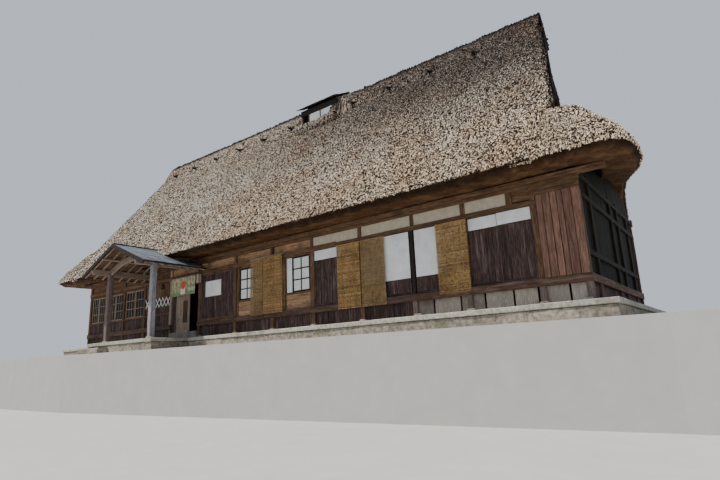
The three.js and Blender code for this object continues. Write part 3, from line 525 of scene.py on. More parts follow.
# Distances from the first point of a line to each of its points.
def lengthAlong(points):
    return np.concatenate([[0], np.cumsum(np.linalg.norm(np.diff(points, axis=0), axis=1))])


# Averages a line of rows three times round one of them, as far as reach on each side, so that its edge is
# round.
def rounded(rows, at, reach):
    for _ in range(3):
        part = rows[at - reach:at + reach + 1].copy()
        rows[at - reach + 1:at + reach] = (part[:-2] + 2 * part[1:-1] + part[2:]) / 4


# The value at a place between the corners of a grid, from the four corners round it.
def gridAt(grid, i, j):
    a, b = i.astype(int), j.astype(int)
    s, t = (i - a)[:, None], (j - b)[:, None]
    near = grid[a, b] * (1 - s) + grid[a + 1, b] * s
    return near * (1 - t) + (grid[a, b + 1] * (1 - s) + grid[a + 1, b + 1] * s) * t


# Tufts of straw: wedges of four faces that lie down the slope, with the tip raised over the lower end. A
# corner is the place + down * its first number + across * its second + out * its third, each a share of the
# tuft's own size.
def strawTufts(rings, grain, i, j, long, wide, high, swing=0.4, ahead=0.0):
    down = unit(gridAt(rings, i, j + 0.9) - gridAt(rings, i, j - 0.9))
    out = gridAt(ringNormals(rings), i, j)
    out = unit(out - down * (out * down).sum(1)[:, None])
    turn = rng.uniform(-swing, swing, (len(i), 1))
    down = down * np.cos(turn) + np.cross(out, down) * np.sin(turn)
    across = np.cross(out, down)
    corner = np.array([(-0.6, 0, -0.5), (0.32, -0.5, -0.5), (0.32, 0.5, -0.5), (0.42, 0, 1.0)])
    size = np.stack([rng.uniform(*span, len(i)) for span in (long, wide, high)], -1)[:, None]
    part = (corner + rng.uniform(-0.16, 0.16, (len(i), 4, 3)) + [ahead, 0, 0]) * size
    ways = np.stack([down, across, out], 1)[:, None]
    points = gridAt(rings, i, j)[:, None] + (part[..., None] * ways).sum(-2)
    first = np.arange(len(i))[:, None] * 4
    sides = np.concatenate([first + order for order in ([0, 1, 3], [1, 2, 3], [2, 0, 3], [0, 2, 1])])
    tuftGrain = np.repeat(gridAt(grain, i, j)[:, None], 4, axis=1) + part[..., [1, 0, 2]] * [1, 1, 0]
    # The third number of grain paints the tuft's feet darker and its tip lighter: painted shade and painted
    # light.
    tuftGrain[..., 2] = rng.uniform(-0.3, 0.3, (len(i), 1)) + np.array([0.3, 0.4, 0.4, 0.9])
    return points.reshape(-1, 3), [sides], tuftGrain.reshape(-1, 3), np.zeros(len(i) * 4)


# Spreads tufts over the rows from one to another at even distances with some play, fewer where the rings
# close up.
def tuftsOver(rings, grain, rows, gap, **sizes):
    side = lengthAlong(rings[:, rows[1] - 2])
    steps = np.diff(side)
    fall = lengthAlong(rings[len(rings) // 2, rows[0]:rows[1] + 1])
    sideways = np.arange(gap / 2, side[-1] - gap / 2, gap)
    a, b = np.meshgrid(sideways, np.arange(gap / 2, fall[-1] - gap / 3, gap * 0.95))
    a, b = (grid.ravel() + rng.uniform(-0.5, 0.5, a.size) * gap for grid in (a, b))
    i = np.clip(np.interp(a, side, np.arange(len(side))), 1.01, len(rings) - 2.01)
    j = np.clip(np.interp(b, fall, np.arange(rows[0], rows[1] + 1.0)), 1.01, rows[1] - 0.02)
    column, row = i.astype(int), j.astype(int)
    near = np.linalg.norm(rings[column + 1, row] - rings[column, row], axis=1)
    kept = rng.uniform(0, 1, len(i)) < near / steps[np.minimum(column, len(steps) - 1)]
    return strawTufts(rings, grain, i[kept], j[kept], **sizes)


# The body of a slope or skirt as one shape, and its loose straw as another: tufts all over, and a fringe of
# longer straws along the lip, as a row of narrow tufts that reach past it.
def thatched(rings, grain, tone, lipRow, gap, fringeGap=0.03):
    grain = grain + [0, 0, 0.3]
    tufts = tuftsOver(rings, grain, (0, lipRow), gap, swing=0.35, long=(0.07, 0.13), wide=(0.026, 0.05),
                      high=(0.014, 0.036))
    side = lengthAlong(rings[:, lipRow])
    a = np.arange(0.1, side[-1] - 0.1, fringeGap)
    i = np.interp(a + rng.uniform(-0.4, 0.4, len(a)) * fringeGap, side, np.arange(len(side)))
    i = np.clip(i, 1.01, len(rings) - 2.01)
    fringe = strawTufts(rings, grain, i, lipRow - rng.uniform(0.9, 2.0, len(i)), (0.12, 0.2), (0.03, 0.055),
                        (0.01, 0.025), 0.25, 0.14)
    return ringSolid(rings, grain, tone), gather(tufts, fringe)


# The slope's section as a ring of (y, z): down the outside in even steps, round the lip, along the cut and
# the soffit, then up the inside. Averaging rounds the lip off.
def slopeSection():
    lip, steps = (-roof["eaveY"], roof["eaveZ"]), roof["steps"]
    share = np.linspace(0, 1, steps)[:, None]
    outside = np.array([0.0, roof["ridgeZ"]]) * (1 - share) + np.array(lip) * share
    under = np.array([lip, (-4.55, 3.55), (-4.2, 3.59), (-3.6, 3.66)])
    measure = lengthAlong(under)
    at = np.linspace(0, measure[-1], 22)[1:]
    below = np.c_[np.interp(at, measure, under[:, 0]), np.interp(at, measure, under[:, 1])]
    inside = np.array([(-3.38, 3.66), (-3.38, 4.2), (-3.38, 4.76), (-2.4, 6.13), (-1.2, 7.8), (0.0, 9.48)])
    section = np.concatenate([outside, below, inside])
    rounded(section, steps, 5)
    # The tone starts at 0.42 just under the lip, where the finish paints the cut darkest as painted shade, and
    # climbs to 1 on the soffit.
    tone = [np.zeros(steps - 1), [0.2], np.linspace(0.42, 1, 10), np.ones(len(section) - steps - 10)]
    return section, np.concatenate(tone)


# How far along X a verge stands at a height: it leans in from its foot to the ridge's end.
def vergeAt(z, foot, ridgeEnd):
    lean = np.clip((z - roof["vergeFootZ"]) / (roof["ridgeZ"] + 0.1 - roof["vergeFootZ"]), 0, 1)
    return foot + (ridgeEnd - foot) * lean


# Each ring of a slope is the section at one place along X. Near the ends the ring draws in towards the middle
# line of the thatch, first round a quarter circle and then flat, so the verge is a rounded cut face.
def thatchSlope(side):
    section, tone = slopeSection()
    line = np.array([(0.0, 9.95), (-3.95, 4.25)])
    way = line[1] - line[0]
    share = np.clip(((section - line[0]) @ way) / (way @ way), 0, 1)
    middle = line[0] + share[:, None] * way
    z = section[:, 1]
    west, eastern = (sign * vergeAt(z, roof["vergeFoot"][side], roof["ridgeEnd"][end])
                     for sign, end in ((-1, "west"), (1, "east")))
    radius = 0.01 + roof["vergeRound"] * smoothStep(z, 5.2, 6.3)
    turn, flat = np.linspace(0, 1, 6)[:, None] * np.pi / 2, np.linspace(0, 1, 8)[1:, None]
    shifts = np.concatenate([radius * (np.sin(turn) - 1), radius * 0 * flat])
    draws = np.concatenate([radius * (1 - np.cos(turn)) / 0.27, radius / 0.27 + (0.93 - radius / 0.27) * flat])
    body = np.linspace(0, 1, roof["columns"])[1:-1, None]
    x = (west + 0.2) * (1 - body) + (eastern - 0.2) * body
    xs = np.concatenate([(west - shifts)[::-1], x, eastern + shifts])
    draw = np.concatenate([draws[::-1], np.zeros_like(x), draws])
    flatPart = section[None] + (middle - section)[None] * draw[..., None]
    rings = np.stack([xs, flatPart[..., 0], flatPart[..., 1]], -1)
    seen = (np.arange(len(section)) < roof["steps"] + 21)[None]
    dive = 0.1 * smoothStep(np.maximum(xs - eastern, west - xs), -0.19, 0) * (1 - smoothStep(z, 5.2, 5.9))
    rings = rings - ringNormals(rings) * (strawRelief(rings) * seen + dive)[..., None]
    grain = np.stack([xs, np.broadcast_to(lengthAlong(section), xs.shape), np.zeros_like(xs)], -1)
    tones = np.maximum(np.broadcast_to(tone, xs.shape), np.clip(draw * 2.2, 0, 0.8))
    if side > 0:
        return thatched(rings * np.array([1, -1, 1]), grain, tones, roof["steps"] - 1, 0.078)
    return thatched(rings[::-1], grain[::-1], tones[::-1], roof["steps"] - 1, 0.064)


# The skirt's lip and the inner end of its soffit, as in the CAD source.
skirt = {
    "lip": [(10.25, -4.8, 3.73), (11.5, -4.8, 3.73), (12.65, -4.8, 3.73), (13.13, -4.64, 3.735),
            (13.37, -4.22, 3.74), (13.43, -3.6, 3.745), (13.37, -2.85, 3.78), (13.14, -1.71, 3.92),
            (12.89, -0.4, 4.22), (12.6, 0.93, 4.5), (12.25, 2.2, 4.6), (12.03, 3.1, 4.33), (11.94, 3.7, 3.96),
            (11.75, 4.35, 3.78), (11.25, 4.78, 3.735), (10.25, 4.8, 3.73)],
    "soffit": [(10.25, -3.59, 3.66), (11.3, -3.59, 3.66), (12.0, -3.59, 3.66), (12.21, -3.5, 3.665),
               (12.33, -3.25, 3.675), (12.37, -2.9, 3.7), (12.34, -2.4, 3.76), (12.18, -1.55, 3.93),
               (11.95, -0.4, 4.23), (11.7, 0.75, 4.5), (11.45, 1.75, 4.56), (11.4, 2.6, 4.2),
               (11.45, 3.25, 3.8), (11.3, 3.54, 3.68), (10.95, 3.59, 3.662), (10.25, 3.59, 3.66)],
    "sections": 190, "steps": 64, "lift": 0.7, "steep": 0.3, "spread": 0.9, "dip": 0.25, "thick": 0.9,
    "archHalf": 3.4, "archRise": 1.1, "gableX": 10.2503}


# A centripetal Catmull-Rom curve: between two points it is the cubic whose slopes at the ends come from the
# neighbours, each weighted by the square root of the distance to it.
def curveThrough(points, share):
    points = np.array(points)
    padded = np.concatenate([[2 * points[0] - points[1]], points, [2 * points[-1] - points[-2]]])
    place = share * (len(points) - 1)
    at = np.minimum(place.astype(int), len(points) - 2)
    t = (place - at)[:, None]
    p0, p1, p2, p3 = (padded[at + k] for k in range(4))
    d0, d1, d2 = (np.sqrt(np.linalg.norm(b - a, axis=1))[:, None] for a, b in ((p0, p1), (p1, p2), (p2, p3)))
    m1 = ((p1 - p0) / d0 - (p2 - p0) / (d0 + d1) + (p2 - p1) / d1) * d1
    m2 = ((p2 - p1) / d1 - (p3 - p1) / (d1 + d2) + (p3 - p2) / d2) * d1
    rise = t * t * (3 - 2 * t)
    return p1 * (1 - rise) + p2 * rise + m1 * t * (1 - t) ** 2 - m2 * t * t * (1 - t)


def bezier(a, b, c, d, steps):
    t = np.linspace(0, 1, steps)[None, :, None]
    a, b, c, d = (point[:, None, :] for point in (a, b, c, d))
    return a * (1 - t) ** 3 + 3 * b * t * (1 - t) ** 2 + 3 * c * t**2 * (1 - t) + d * t**3


# Each section falls from the arch on the gable to the lip on a cubic curve, turns under along the cut and the
# soffit, and closes inside. It never stands above the slopes' planes, and dives under them inside the verge.
def thatchSkirt(side):
    u = np.linspace(0.03, 0.97, skirt["sections"])
    lip, soffit = curveThrough(skirt["lip"], u), curveThrough(skirt["soffit"], u)
    tangent = unit(np.gradient(lip, axis=0) * np.array([1, 1, 0]))
    inward = np.stack([-tangent[:, 1], tangent[:, 0], 0 * u], -1)
    facing = smoothStep(np.abs(inward[:, 0]), 0, 1)[:, None]
    run = (skirt["lift"] / roofSlope) * (1 - (1 - skirt["steep"]) * facing)
    archY = -skirt["archHalf"] + 2 * skirt["archHalf"] * np.clip((u - 0.22) / 0.5, 0, 1)
    archFoot = roof["eaveZ"] + (roof["eaveY"] - skirt["archHalf"]) * roofSlope
    archZ = archFoot + skirt["archRise"] * (1 - (archY / skirt["archHalf"]) ** 2)
    arch = np.stack([np.full_like(u, skirt["gableX"]), archY, archZ], -1)
    knee = lip + inward * run + up * skirt["lift"]
    shoulder = (arch + (lip - arch) / 3) * (1 - facing) + (arch + [skirt["spread"], 0, -skirt["dip"]]) * facing
    outside = bezier(arch, shoulder, knee, lip, skirt["steps"])
    x, y, z = (outside[..., axis] for axis in range(3))  # views, so z changes the curve itself
    plane = roof["eaveZ"] + (roof["eaveY"] - np.abs(y)) * roofSlope
    foot = np.where(y < 0, roof["vergeFoot"][-1], roof["vergeFoot"][1])
    past = x - vergeAt(z, foot, roof["ridgeEnd"]["east"])
    fall = np.linspace(0, 1, skirt["steps"])[None]
    flank = smoothStep(np.abs(y), 2.4, 3.4) * (1 - smoothStep(past, 0.3, 1.2)) * (1 - smoothStep(z, 4.8, 5.5))
    z += 6.75 * fall ** 2 * (1 - fall) * (0.09 + 0.3 * flank)
    z[:] = np.minimum(z, plane - 0.002 - 0.14 * smoothStep(-past, 0.12, 0.4))
    cut = lip + (soffit - lip) * 0.2
    cut[:, 2] = lip[:, 2] - 0.18
    below, further = (near[:, None] * (1 - share) + far[:, None] * share for near, far, share in (
        (lip, cut, np.linspace(0, 1, 7)[None, 1:, None]), (cut, soffit, np.linspace(0, 1, 9)[None, 1:, None])))
    innerTop = np.stack([arch[:, 0], arch[:, 1] * 0.86, arch[:, 2] - skirt["thick"]], -1)
    inside = bezier(soffit, soffit + [0, 0, 0.4], innerTop + [0.7, 0, -0.05], innerTop, 8)[:, 1:]
    rings = np.concatenate([outside, below, further, inside], axis=1)
    lipAt = skirt["steps"] - 1
    rounded(rings.transpose(1, 0, 2), lipAt, 4)
    seen = (np.arange(rings.shape[1]) < lipAt + 15)[None]
    rings = rings - ringNormals(rings) * (strawRelief(rings) * seen)[..., None]
    down = np.cumsum(np.linalg.norm(np.diff(rings, axis=1), axis=2), axis=1)
    down = np.concatenate([np.zeros((len(u), 1)), down], 1)
    along = np.cumsum(np.linalg.norm(np.gradient(lip, axis=0), axis=1))[:, None] + 0 * down
    grain = np.stack([along, down, 0 * down], -1)
    behind = np.arange(rings.shape[1]) - lipAt
    # Under the lip the tone climbs from 0.36, so the finish paints the cut darkest there as painted shade.
    tone = np.broadcast_to(np.where(behind > 0, np.clip(0.36 + 0.08 * behind, 0, 1), 0.0), down.shape)
    if side < 0:
        return thatched(rings * np.array([-1, 1, 1]), grain, tone, lipAt, 0.072)
    return thatched(rings[::-1], grain[::-1], tone[::-1], lipAt, 0.064)


for name, node, (body, straw) in (("front", "front", thatchSlope(-1)), ("back", "back", thatchSlope(1)),
                                  ("east_skirt", "skirt_east", thatchSkirt(1)),
                                  ("west_skirt", "skirt_west", thatchSkirt(-1))):
    addPiece(name + "_thatch", "thatch", "thatch", body, replaces="thatch_" + node, smooth=1)
    addPiece(name + "_straw", "thatch", "thatch", straw)
print("thatch ready")

# Front wall

wall = {"posts": [11.925, 10.86, 8.93, 7.24, 5.37, 3.34, 1.39, -0.63, -2.85, -4.85, -6.9, -8.7, -10.4, -11.925],
        "lintelY": (-3.52, -3.35), "strutY": (-3.506, -3.446), "splits": (-4.775, 4.4)}
hewn = {"chamfer": 0.012, "wobble": 0.003}
lintelY, strutY = wall["lintelY"], wall["strutY"]


# A flat block between two corners, with its edges taken off.
def slab(x0, x1, y0, y1, z0, z1, **more):
    x, y = (x0 + x1) / 2, (y0 + y1) / 2
    return bars([x, y, z0], [x, y, z1], east, x1 - x0, y1 - y0, rings=2, chamfer=0.003, wobble=0.0, **more)


# Beams along X in one plane, each from x0 to x1 and z0 to z1.
def beamsX(y0, y1, *spans, **more):
    y = (y0 + y1) / 2
    return gather(*[bars([x0, y, (z0 + z1) / 2], [x1, y, (z0 + z1) / 2], up, z1 - z0, y1 - y0, rings=9, **more)
                    for x0, x1, z0, z1 in spans])


def beamX(x0, x1, y0, y1, z0, z1, **more):
    return beamsX(y0, y1, (x0, x1, z0, z1), **more)


def upright(xs, y0, y1, z0, z1, width, **more):
    xs = np.atleast_1d(np.asarray(xs, float))
    low = np.c_[xs, np.full_like(xs, (y0 + y1) / 2), np.full_like(xs, z0)]
    return bars(low, low + [0, 0, z1 - z0], east, width, y1 - y0, **more)


# Boards that lie across or stand up in a rectangle of the front wall's plane.
def layBoards(x0, x1, z0, z1, count, thick=0.022, y=-3.432, **more):
    return boards([x0, y, z0], up, east, z1 - z0, x1 - x0, count, thick, **more)


def standBoards(x0, x1, z0, z1, count, thick=0.022, y=-3.432, **more):
    return boards([x0, y, z0], east, up, x1 - x0, z1 - z0, count, thick, **more)


# The posts between two places, with the struts over them.
def postsAndStruts(low, high, without=()):
    posts = [np.clip(x, -11.925, 11.925) for x in wall["posts"] if low < x < high and x not in without]
    return gather(upright(posts, -3.5, -3.35, 1.1003, 2.972, 0.15, **hewn),
                  upright(posts, *strutY, 3.098, 3.4297, 0.15, **hewn))


west, split = wall["splits"]
addPiece("front_posts_east", "timber", "timber",
    postsAndStruts(split, 12, [7.24]), upright(7.3, *strutY, 3.098, 3.4297, 0.14, **hewn),
    upright(10.25, *strutY, 3.098, 3.4297, 0.17, **hewn),
    layBoards(10.335, 10.79, 3.13, 3.43, 2, 0.026, y=-3.462),
    beamX(4.4, 10.935, *lintelY, 2.9703, 3.1, **hewn),
    beamX(10.93, 11.998, -3.497, -3.352, 2.972, 3.128, **hewn),
    beamX(10.79, 11.998, -3.53, -3.446, 3.19, 3.31, **hewn),
    beamX(10.79, 11.998, -3.527, -3.446, 3.314, 3.429, **hewn), replaces="front_frame_east")
# This post is painted black: painted shade of the narrow recess between the paper doors.
addPiece("dark_post", "black", "timber", upright(7.24, -3.49, -3.35, 1.1003, 2.972, 0.11, chamfer=0.008))
addPiece("front_posts_middle", "timber", "timber",
    postsAndStruts(west, split), beamX(-4.7747, 4.3997, *lintelY, 2.9703, 3.1297, **hewn),
    upright([-2.75, -0.73, -0.49, 0.455, 2.045, 3.235], -3.47, -3.40, 1.101, 2.969, 0.06),
    beamsX(-3.475, -3.41, (-2.77, -0.71, 1.101, 1.17), (-2.77, -0.71, 2.9, 2.969)),
    beamsX(-3.475, -3.4, (-0.46, 0.43, 1.62, 1.68), (-0.46, 0.43, 2.88, 2.93), (2.07, 3.21, 1.62, 1.68),
           (2.07, 3.21, 2.92, 2.96)), replaces="front_wall_middle")
addPiece("front_boards_middle", "light", "light_board",
    layBoards(-0.555, 1.315, 1.1, 1.63, 3, 0.03), layBoards(1.465, 3.265, 1.1, 1.63, 3, 0.03),
    standBoards(0.47, 1.315, 1.62, 2.97, 4, 0.026), standBoards(1.465, 2.03, 1.62, 2.97, 3, 0.026),
    layBoards(-0.555, 0.47, 2.92, 2.97, 1, 0.026), standBoards(-0.555, -0.45, 1.62, 2.97, 1, 0.026),
    layBoards(-4.77, 3.34, 3.13, 3.43, 2, 0.026, y=-3.425))
addPiece("front_planks_middle", "dark", "dark_board",
    standBoards(-2.76, -0.72, 1.165, 2.905, 11, 0.03, y=-3.437))
addPiece("entrance_post", "post", "timber", postsAndStruts(-4.9, -4.8))
addPiece("front_posts_west", "timber", "timber",
    postsAndStruts(-12, west, [-4.85]), beamX(-12.0, -4.7753, *lintelY, 2.9703, 3.1297, **hewn),
    beamX(-11.85, -4.925, -3.49, -3.40, 1.56, 1.62), beamX(-11.85, -4.925, -3.488, -3.40, 2.88, 2.93),
    beamsX(-3.485, -3.42, (-6.825, -4.925, 1.88, 1.94), (-6.825, -4.925, 2.32, 2.38)),
    replaces="front_wall_west")
addPiece("front_boards_west", "dark", "dark_board",
    standBoards(-11.85, -10.475, 1.1, 1.57, 7), standBoards(-10.325, -8.775, 1.1, 1.57, 8),
    standBoards(-8.625, -6.975, 1.1, 1.57, 8), standBoards(-6.825, -4.925, 1.1, 2.35, 9))
addPiece("front_panels_west", "timber", "dark_board",
    standBoards(-6.825, -4.925, 2.35, 2.97, 9), layBoards(-11.99, -4.78, 3.13, 3.43, 2, 0.026, y=-3.425),
    layBoards(-11.85, -6.975, 2.92, 2.97, 1))
addPiece("front_plate", "timber", "timber", beamX(-12.64, 12.64, -3.59, -3.38, 3.53, 3.6597, **hewn),
    beamX(-12.0, 12.0, -3.53, -3.38, 3.43, 3.526, **hewn), replaces="plate_front")
addPiece("transom_plaster", "plaster", "plaster", layBoards(3.417, 10.163, 3.1, 3.43, 1, 0.03, y=-3.472),
    replaces="plaster_band")
addPiece("east_bay_planks", "red", "red_board",
    standBoards(10.94, 12.0, 1.1003, 3.1897, 6, 0.03, chamfer=0.006, gap=0.014, lift=0.005, y=-3.518),
    replaces="plank_wall_east")

# Sashes: a black frame with six white lights, and a white strip beside the eastern one.
for name, x0, x1, top, left in (("window_east", 2.37, 3.19, 2.92, 2.09),
                                ("window_west", -0.40, 0.40, 2.88, None)):
    addPiece(name + "_bars", "black", "timber",
        frameBars(x0 + 0.001, x1 - 0.001, 1.681, top - 0.001, -3.435, 0.05, 0.055, 0.03, 2, 3, 0.042))
    addPiece(name + "_lights", "pane", "window_pane",
        slab(x0 + 0.02, x1 - 0.02, -3.43, -3.424, 1.70, top - 0.02), replaces=name)
    if left:
        addPiece(name + "_strip", "paper", "paper",
            slab(left + 0.006, x0 - 0.02, -3.445, -3.43, 1.70, top - 0.02))


# Lattice sashes, two to a bay: a frame with thin bars over a dim pane.
def latticeSashes(bays, side):
    shapes, panes = [], []
    for x0, x1 in bays:
        middle = (x0 + x1) / 2
        for left, right, y in ((x0, middle, side * 3.43), (middle, x1, side * 3.412)):
            shapes.append(frameBars(left + 0.002, right - 0.002, 1.62, 2.88, y, 0.05, 0.055, 0.03, 3, 3, 0.026))
            y -= side * 0.009
            panes.append(slab(left + 0.02, right - 0.02, y - 0.003, y + 0.003, 1.64, 2.86))
    return gather(*shapes), gather(*panes)


sashBars, sashPanes = latticeSashes([(-8.565, -7.035), (-10.265, -8.835), (-11.79, -10.535)], -1)
addPiece("lattice_bars", "post", "timber", sashBars)
# The panes are painted near black, as painted shade of the dark room behind them.
addPiece("lattice_panes", "gloom", "window_pane", sashPanes, replaces="lattice_windows")
addPiece("sign_board", "paper", "paper", slab(-2.455, -1.475, -3.482, -3.462, 2.02, 2.64), replaces="wall_sign")
addPiece("sign_edge", "post", "timber", frameBars(-2.465, -1.465, 2.01, 2.65, -3.472, 0.02, 0.02, 0.026))
crossX = np.linspace(-6.82, -4.93, 8)
low, high = (np.c_[crossX, 0 * crossX - 3.468, 0 * crossX + z] for z in (1.93, 2.33))
behind = [0, 0.013, 0]
addPiece("bay_lattice", "paper", "light_board", bars(low[:-1], high[1:], north, 0.012, 0.042, rings=2),
    bars(low[1:] - behind, high[:-1] - behind, north, 0.012, 0.042, rings=2))
print("front wall ready")


# Doors: boards or paper above a board foot, in a slim frame. Outer ones slide in the outer track.

doorTracks = {"outer": -3.4575, "inner": -3.4125}
doors = {  # west edge, east edge, track, height where the white part starts
    "board_door_east": (9.85, 10.78, "outer", 2.63), "board_door_middle": (9.01, 9.94, "inner", 2.63),
    "paper_door_east": (7.32, 8.33, "outer", 1.585), "paper_door_west": (6.15, 7.16, "outer", 1.585),
    "board_door_west": (3.42, 4.44, "outer", 2.63), "fixed_panel_east": (8.23, 8.8547, "inner", 1.585),
    "fixed_panel_middle": (5.4453, 6.25, "inner", 1.585), "fixed_panel_west": (4.34, 5.2947, "inner", 2.63),
}
for name, (x0, x1, track, top) in doors.items():
    foot, body = (1.105, name + "_body") if "door" in name else (1.1003, "house")
    y = doorTracks[track]
    left, right, count = x0 + 0.04, x1 - 0.04, max(3, round((x1 - x0) / 0.23))
    addPiece(name + "_boards", "dark", "dark_board",
        upright([x0 + 0.025, x1 - 0.025], y - 0.016, y + 0.016, foot, 2.96, 0.04),
        beamX(left, right, y - 0.016, y + 0.016, foot, foot + 0.07),
        beamX(left, right, y - 0.0155, y + 0.0155, top - 0.03, top),
        beamX(left, right, y - 0.015, y + 0.015, 2.93, 2.959),
        standBoards(x0 + 0.035, x1 - 0.035, foot + 0.06, top - 0.025, count, 0.018, gap=0.005, lift=0.002,
                    y=y + 0.003),
        body=body, replaces=name)
    addPiece(name + "_white", "paper", "paper",
        slab(x0 + 0.018, x1 - 0.018, y - 0.0185, y - 0.009, top + 0.002, 2.955), body=body)

# Entrance: a fixed panel of dark boards, and a paler sliding door with rails and a blank hanging board.
y = doorTracks["inner"]
addPiece("entrance_panel_boards", "dark", "dark_board",
    upright([-4.75, -3.885], y - 0.0175, y + 0.0175, 0.741, 2.969, 0.05),
    beamsX(y - 0.016, y + 0.016, (-4.725, -3.91, 0.741, 0.84), (-4.725, -3.91, 1.86, 1.91)),
    standBoards(-4.725, -3.91, 0.83, 1.87, 5, 0.016, y=y + 0.003),
    standBoards(-4.725, -3.91, 1.90, 2.969, 5, 0.016, y=y + 0.003), replaces="entrance_panel")
y, body = doorTracks["outer"], "entrance_door_body"
addPiece("entrance_door_frame", "post", "light_board",
    frameBars(-4.43, -3.51, 0.745, 2.965, y, 0.07, 0.09, 0.034),
    beamX(-4.36, -3.58, y - 0.016, y + 0.016, 1.35, 1.42),
    standBoards(-4.36, -3.58, 0.83, 1.36, 4, 0.016, y=y + 0.002),
    standBoards(-4.36, -3.58, 1.41, 2.88, 5, 0.014, y=y + 0.004), body=body, replaces="entrance_door")
addPiece("entrance_door_tag", "timber", "timber", slab(-3.96, -3.66, y - 0.018, y - 0.0075, 1.12, 2.02),
         body=body)
addPiece("threshold_beam", "pale", "timber", beamX(-4.774, -2.926, -3.56, -3.35, 0.42, 0.7397, **hewn),
    replaces="threshold")
print("doors ready")


# Reed blinds: every reed is its own rod with a small drift, tied by upright cords between two slats.

blindShape = {"pitch": 0.0098, "reed": 0.0085, "cordStep": 0.17, "sag": 0.004}


def reedBlind(x0, x1, y0, y1, low, high):
    z = np.arange(low + 0.012, high - 0.012, blindShape["pitch"])
    share = np.linspace(0, 1, 4)[None, :]
    drift = rng.uniform(-0.0012, 0.0012, (len(z), 4))
    tips = rng.uniform(-0.004, 0.001, (len(z), 2))
    x = (x0 - tips[:, :1]) * (1 - share) + (x1 + tips[:, 1:]) * share
    bulge = blindShape["sag"] * np.sin((z[:, None] - low) * 5.1) * np.sin(share * 3.1 + 0.4)
    paths = np.stack([x, (y0 + y1) / 2 + bulge + drift, z[:, None] + 0.5 * drift + 0 * x], -1)
    cords = np.arange(x0 + 0.05, x1 - 0.03, blindShape["cordStep"])
    return gather(sweep(paths, up, blindShape["reed"], 0.007, sides=5, wobble=0.0004),
                  upright(cords, y0 - 0.001, y0 + 0.002, low, high, 0.006, chamfer=0.001),
                  upright(cords + 0.008, y1 - 0.002, y1 + 0.001, low, high, 0.006, chamfer=0.001),
                  beamsX(y0 + 0.001, y1 - 0.001, (x0, x1, low, low + 0.02), (x0, x1, high - 0.03, high)))


for name, finish, x0, x1, y, low, high, node in (
        ("a", "reed", 8.07, 9.02, -3.552, 0.99, 2.9697, "a"),
        ("b", "oldReed", 5.41, 6.31, -3.552, 0.91, 2.9697, "b"),
        ("c", "reed", 4.45, 5.37, -3.552, 0.91, 2.9697, "c"),
        ("pair_west", "oldReed", 0.34, 0.985, -3.588, 1.04, 3.09, None),
        ("pair_east", "reed", 1.012, 2.0, -3.594, 1.06, 3.09, "pair")):
    addPiece("blind_" + name, finish, "reed", reedBlind(x0, x1, y, y + 0.015, low, high),
        replaces=node and "reed_blind_" + node)
addPiece("blind_pole", "post", "timber",
    bars([0.30, -3.578, 3.11], [2.11, -3.578, 3.108], up, 0.035, 0.034, rings=12, sides=10, wobble=0.002))
print("blinds ready")


# Cloth over the doorway: five strips under a common heading. A point hangs at x, z and stands out by folds
# that grow towards the hem, two slow waves along the cloth.

noren = {"x0": -4.67, "wide": 1.65, "z1": 2.9847, "drop": 0.7447, "y": -3.578, "strips": 5, "heading": 0.11,
         "flat": (1.65, 0.745)}


def clothShape():
    strip = noren["wide"] / noren["strips"]
    u, v = np.meshgrid(np.linspace(0, 1, 33), np.linspace(0, 1, 76))
    shapes = []
    for k in range(noren["strips"]):
        free = smoothStep(noren["drop"] * v, noren["heading"], noren["heading"] + 0.25)
        x = noren["x0"] + strip * (k + u) + 0.004 * free * (0.5 - u) * 2
        fold = np.sin(x * 21 + 0.7) * 0.007 + np.sin(x * 9.5 + k * 1.7) * 0.005 * free
        y = noren["y"] + fold * (0.35 + 0.65 * v) + 0.006 * free * v * np.sin(k * 2.4 + 1.0)
        points = np.stack([x, y, noren["z1"] - noren["drop"] * v], -1)
        number = np.arange(u.size).reshape(u.shape)
        quads = np.stack([number[:-1, :-1], number[1:, :-1], number[1:, 1:], number[:-1, 1:]], -1)
        across = (x - noren["x0"]) / noren["wide"]
        grain = np.stack([across * noren["flat"][0], noren["flat"][1] * (1 - v), 0 * x], -1)
        shapes.append((points.reshape(-1, 3), [quads.reshape(-1, 4)], grain.reshape(-1, 3),
                       0.5 + 0 * u.ravel()))
    return gather(*shapes)


# Plain weave in green, with a generic motif: a red round above a cream block, and darker waves at the hem.
def clothFinish():
    material, tree, shader = newMaterial("door_cloth")
    grain = attributeOf(tree, "grain", "Vector")
    parts = addNode(tree, "SeparateXYZ", {"Vector": grain})
    x, z = parts.outputs["X"], parts.outputs["Y"]

    def sums(way, *values):
        return mathOf(tree, way, *values)

    base = rampOf(tree, noiseOf(tree, grain, 7.0, 4.0), [(0.38, "848262"), (0.62, "c4bea0")])
    wave = sums("ADD", sums("MULTIPLY", sums("SINE", sums("MULTIPLY", x, 19.0)), 0.035), 0.15)
    colour = mixOf(tree, sums("MULTIPLY", sums("LESS_THAN", z, wave), 0.8), base, "688e5c")
    block = sums("MULTIPLY", sums("COMPARE", x, 0.82, 0.17), sums("COMPARE", z, 0.2, 0.15))
    colour = mixOf(tree, block, colour, "e4dcc8")
    far = [sums("POWER", sums("SUBTRACT", place, middle), 2.0) for place, middle in ((x, 0.82), (z, 0.43))]
    colour = mixOf(tree, sums("LESS_THAN", sums("SQRT", sums("ADD", *far)), 0.17), colour, "ce5c3c")
    weave = addNode(tree, "TexWave", {"Vector": grain, "Scale": 90.0, "Distortion": 1.0})
    setSurface(tree, shader, colour, 0.9, 0.5, weave.outputs["Fac"], 0.25, 0.001)
    return material


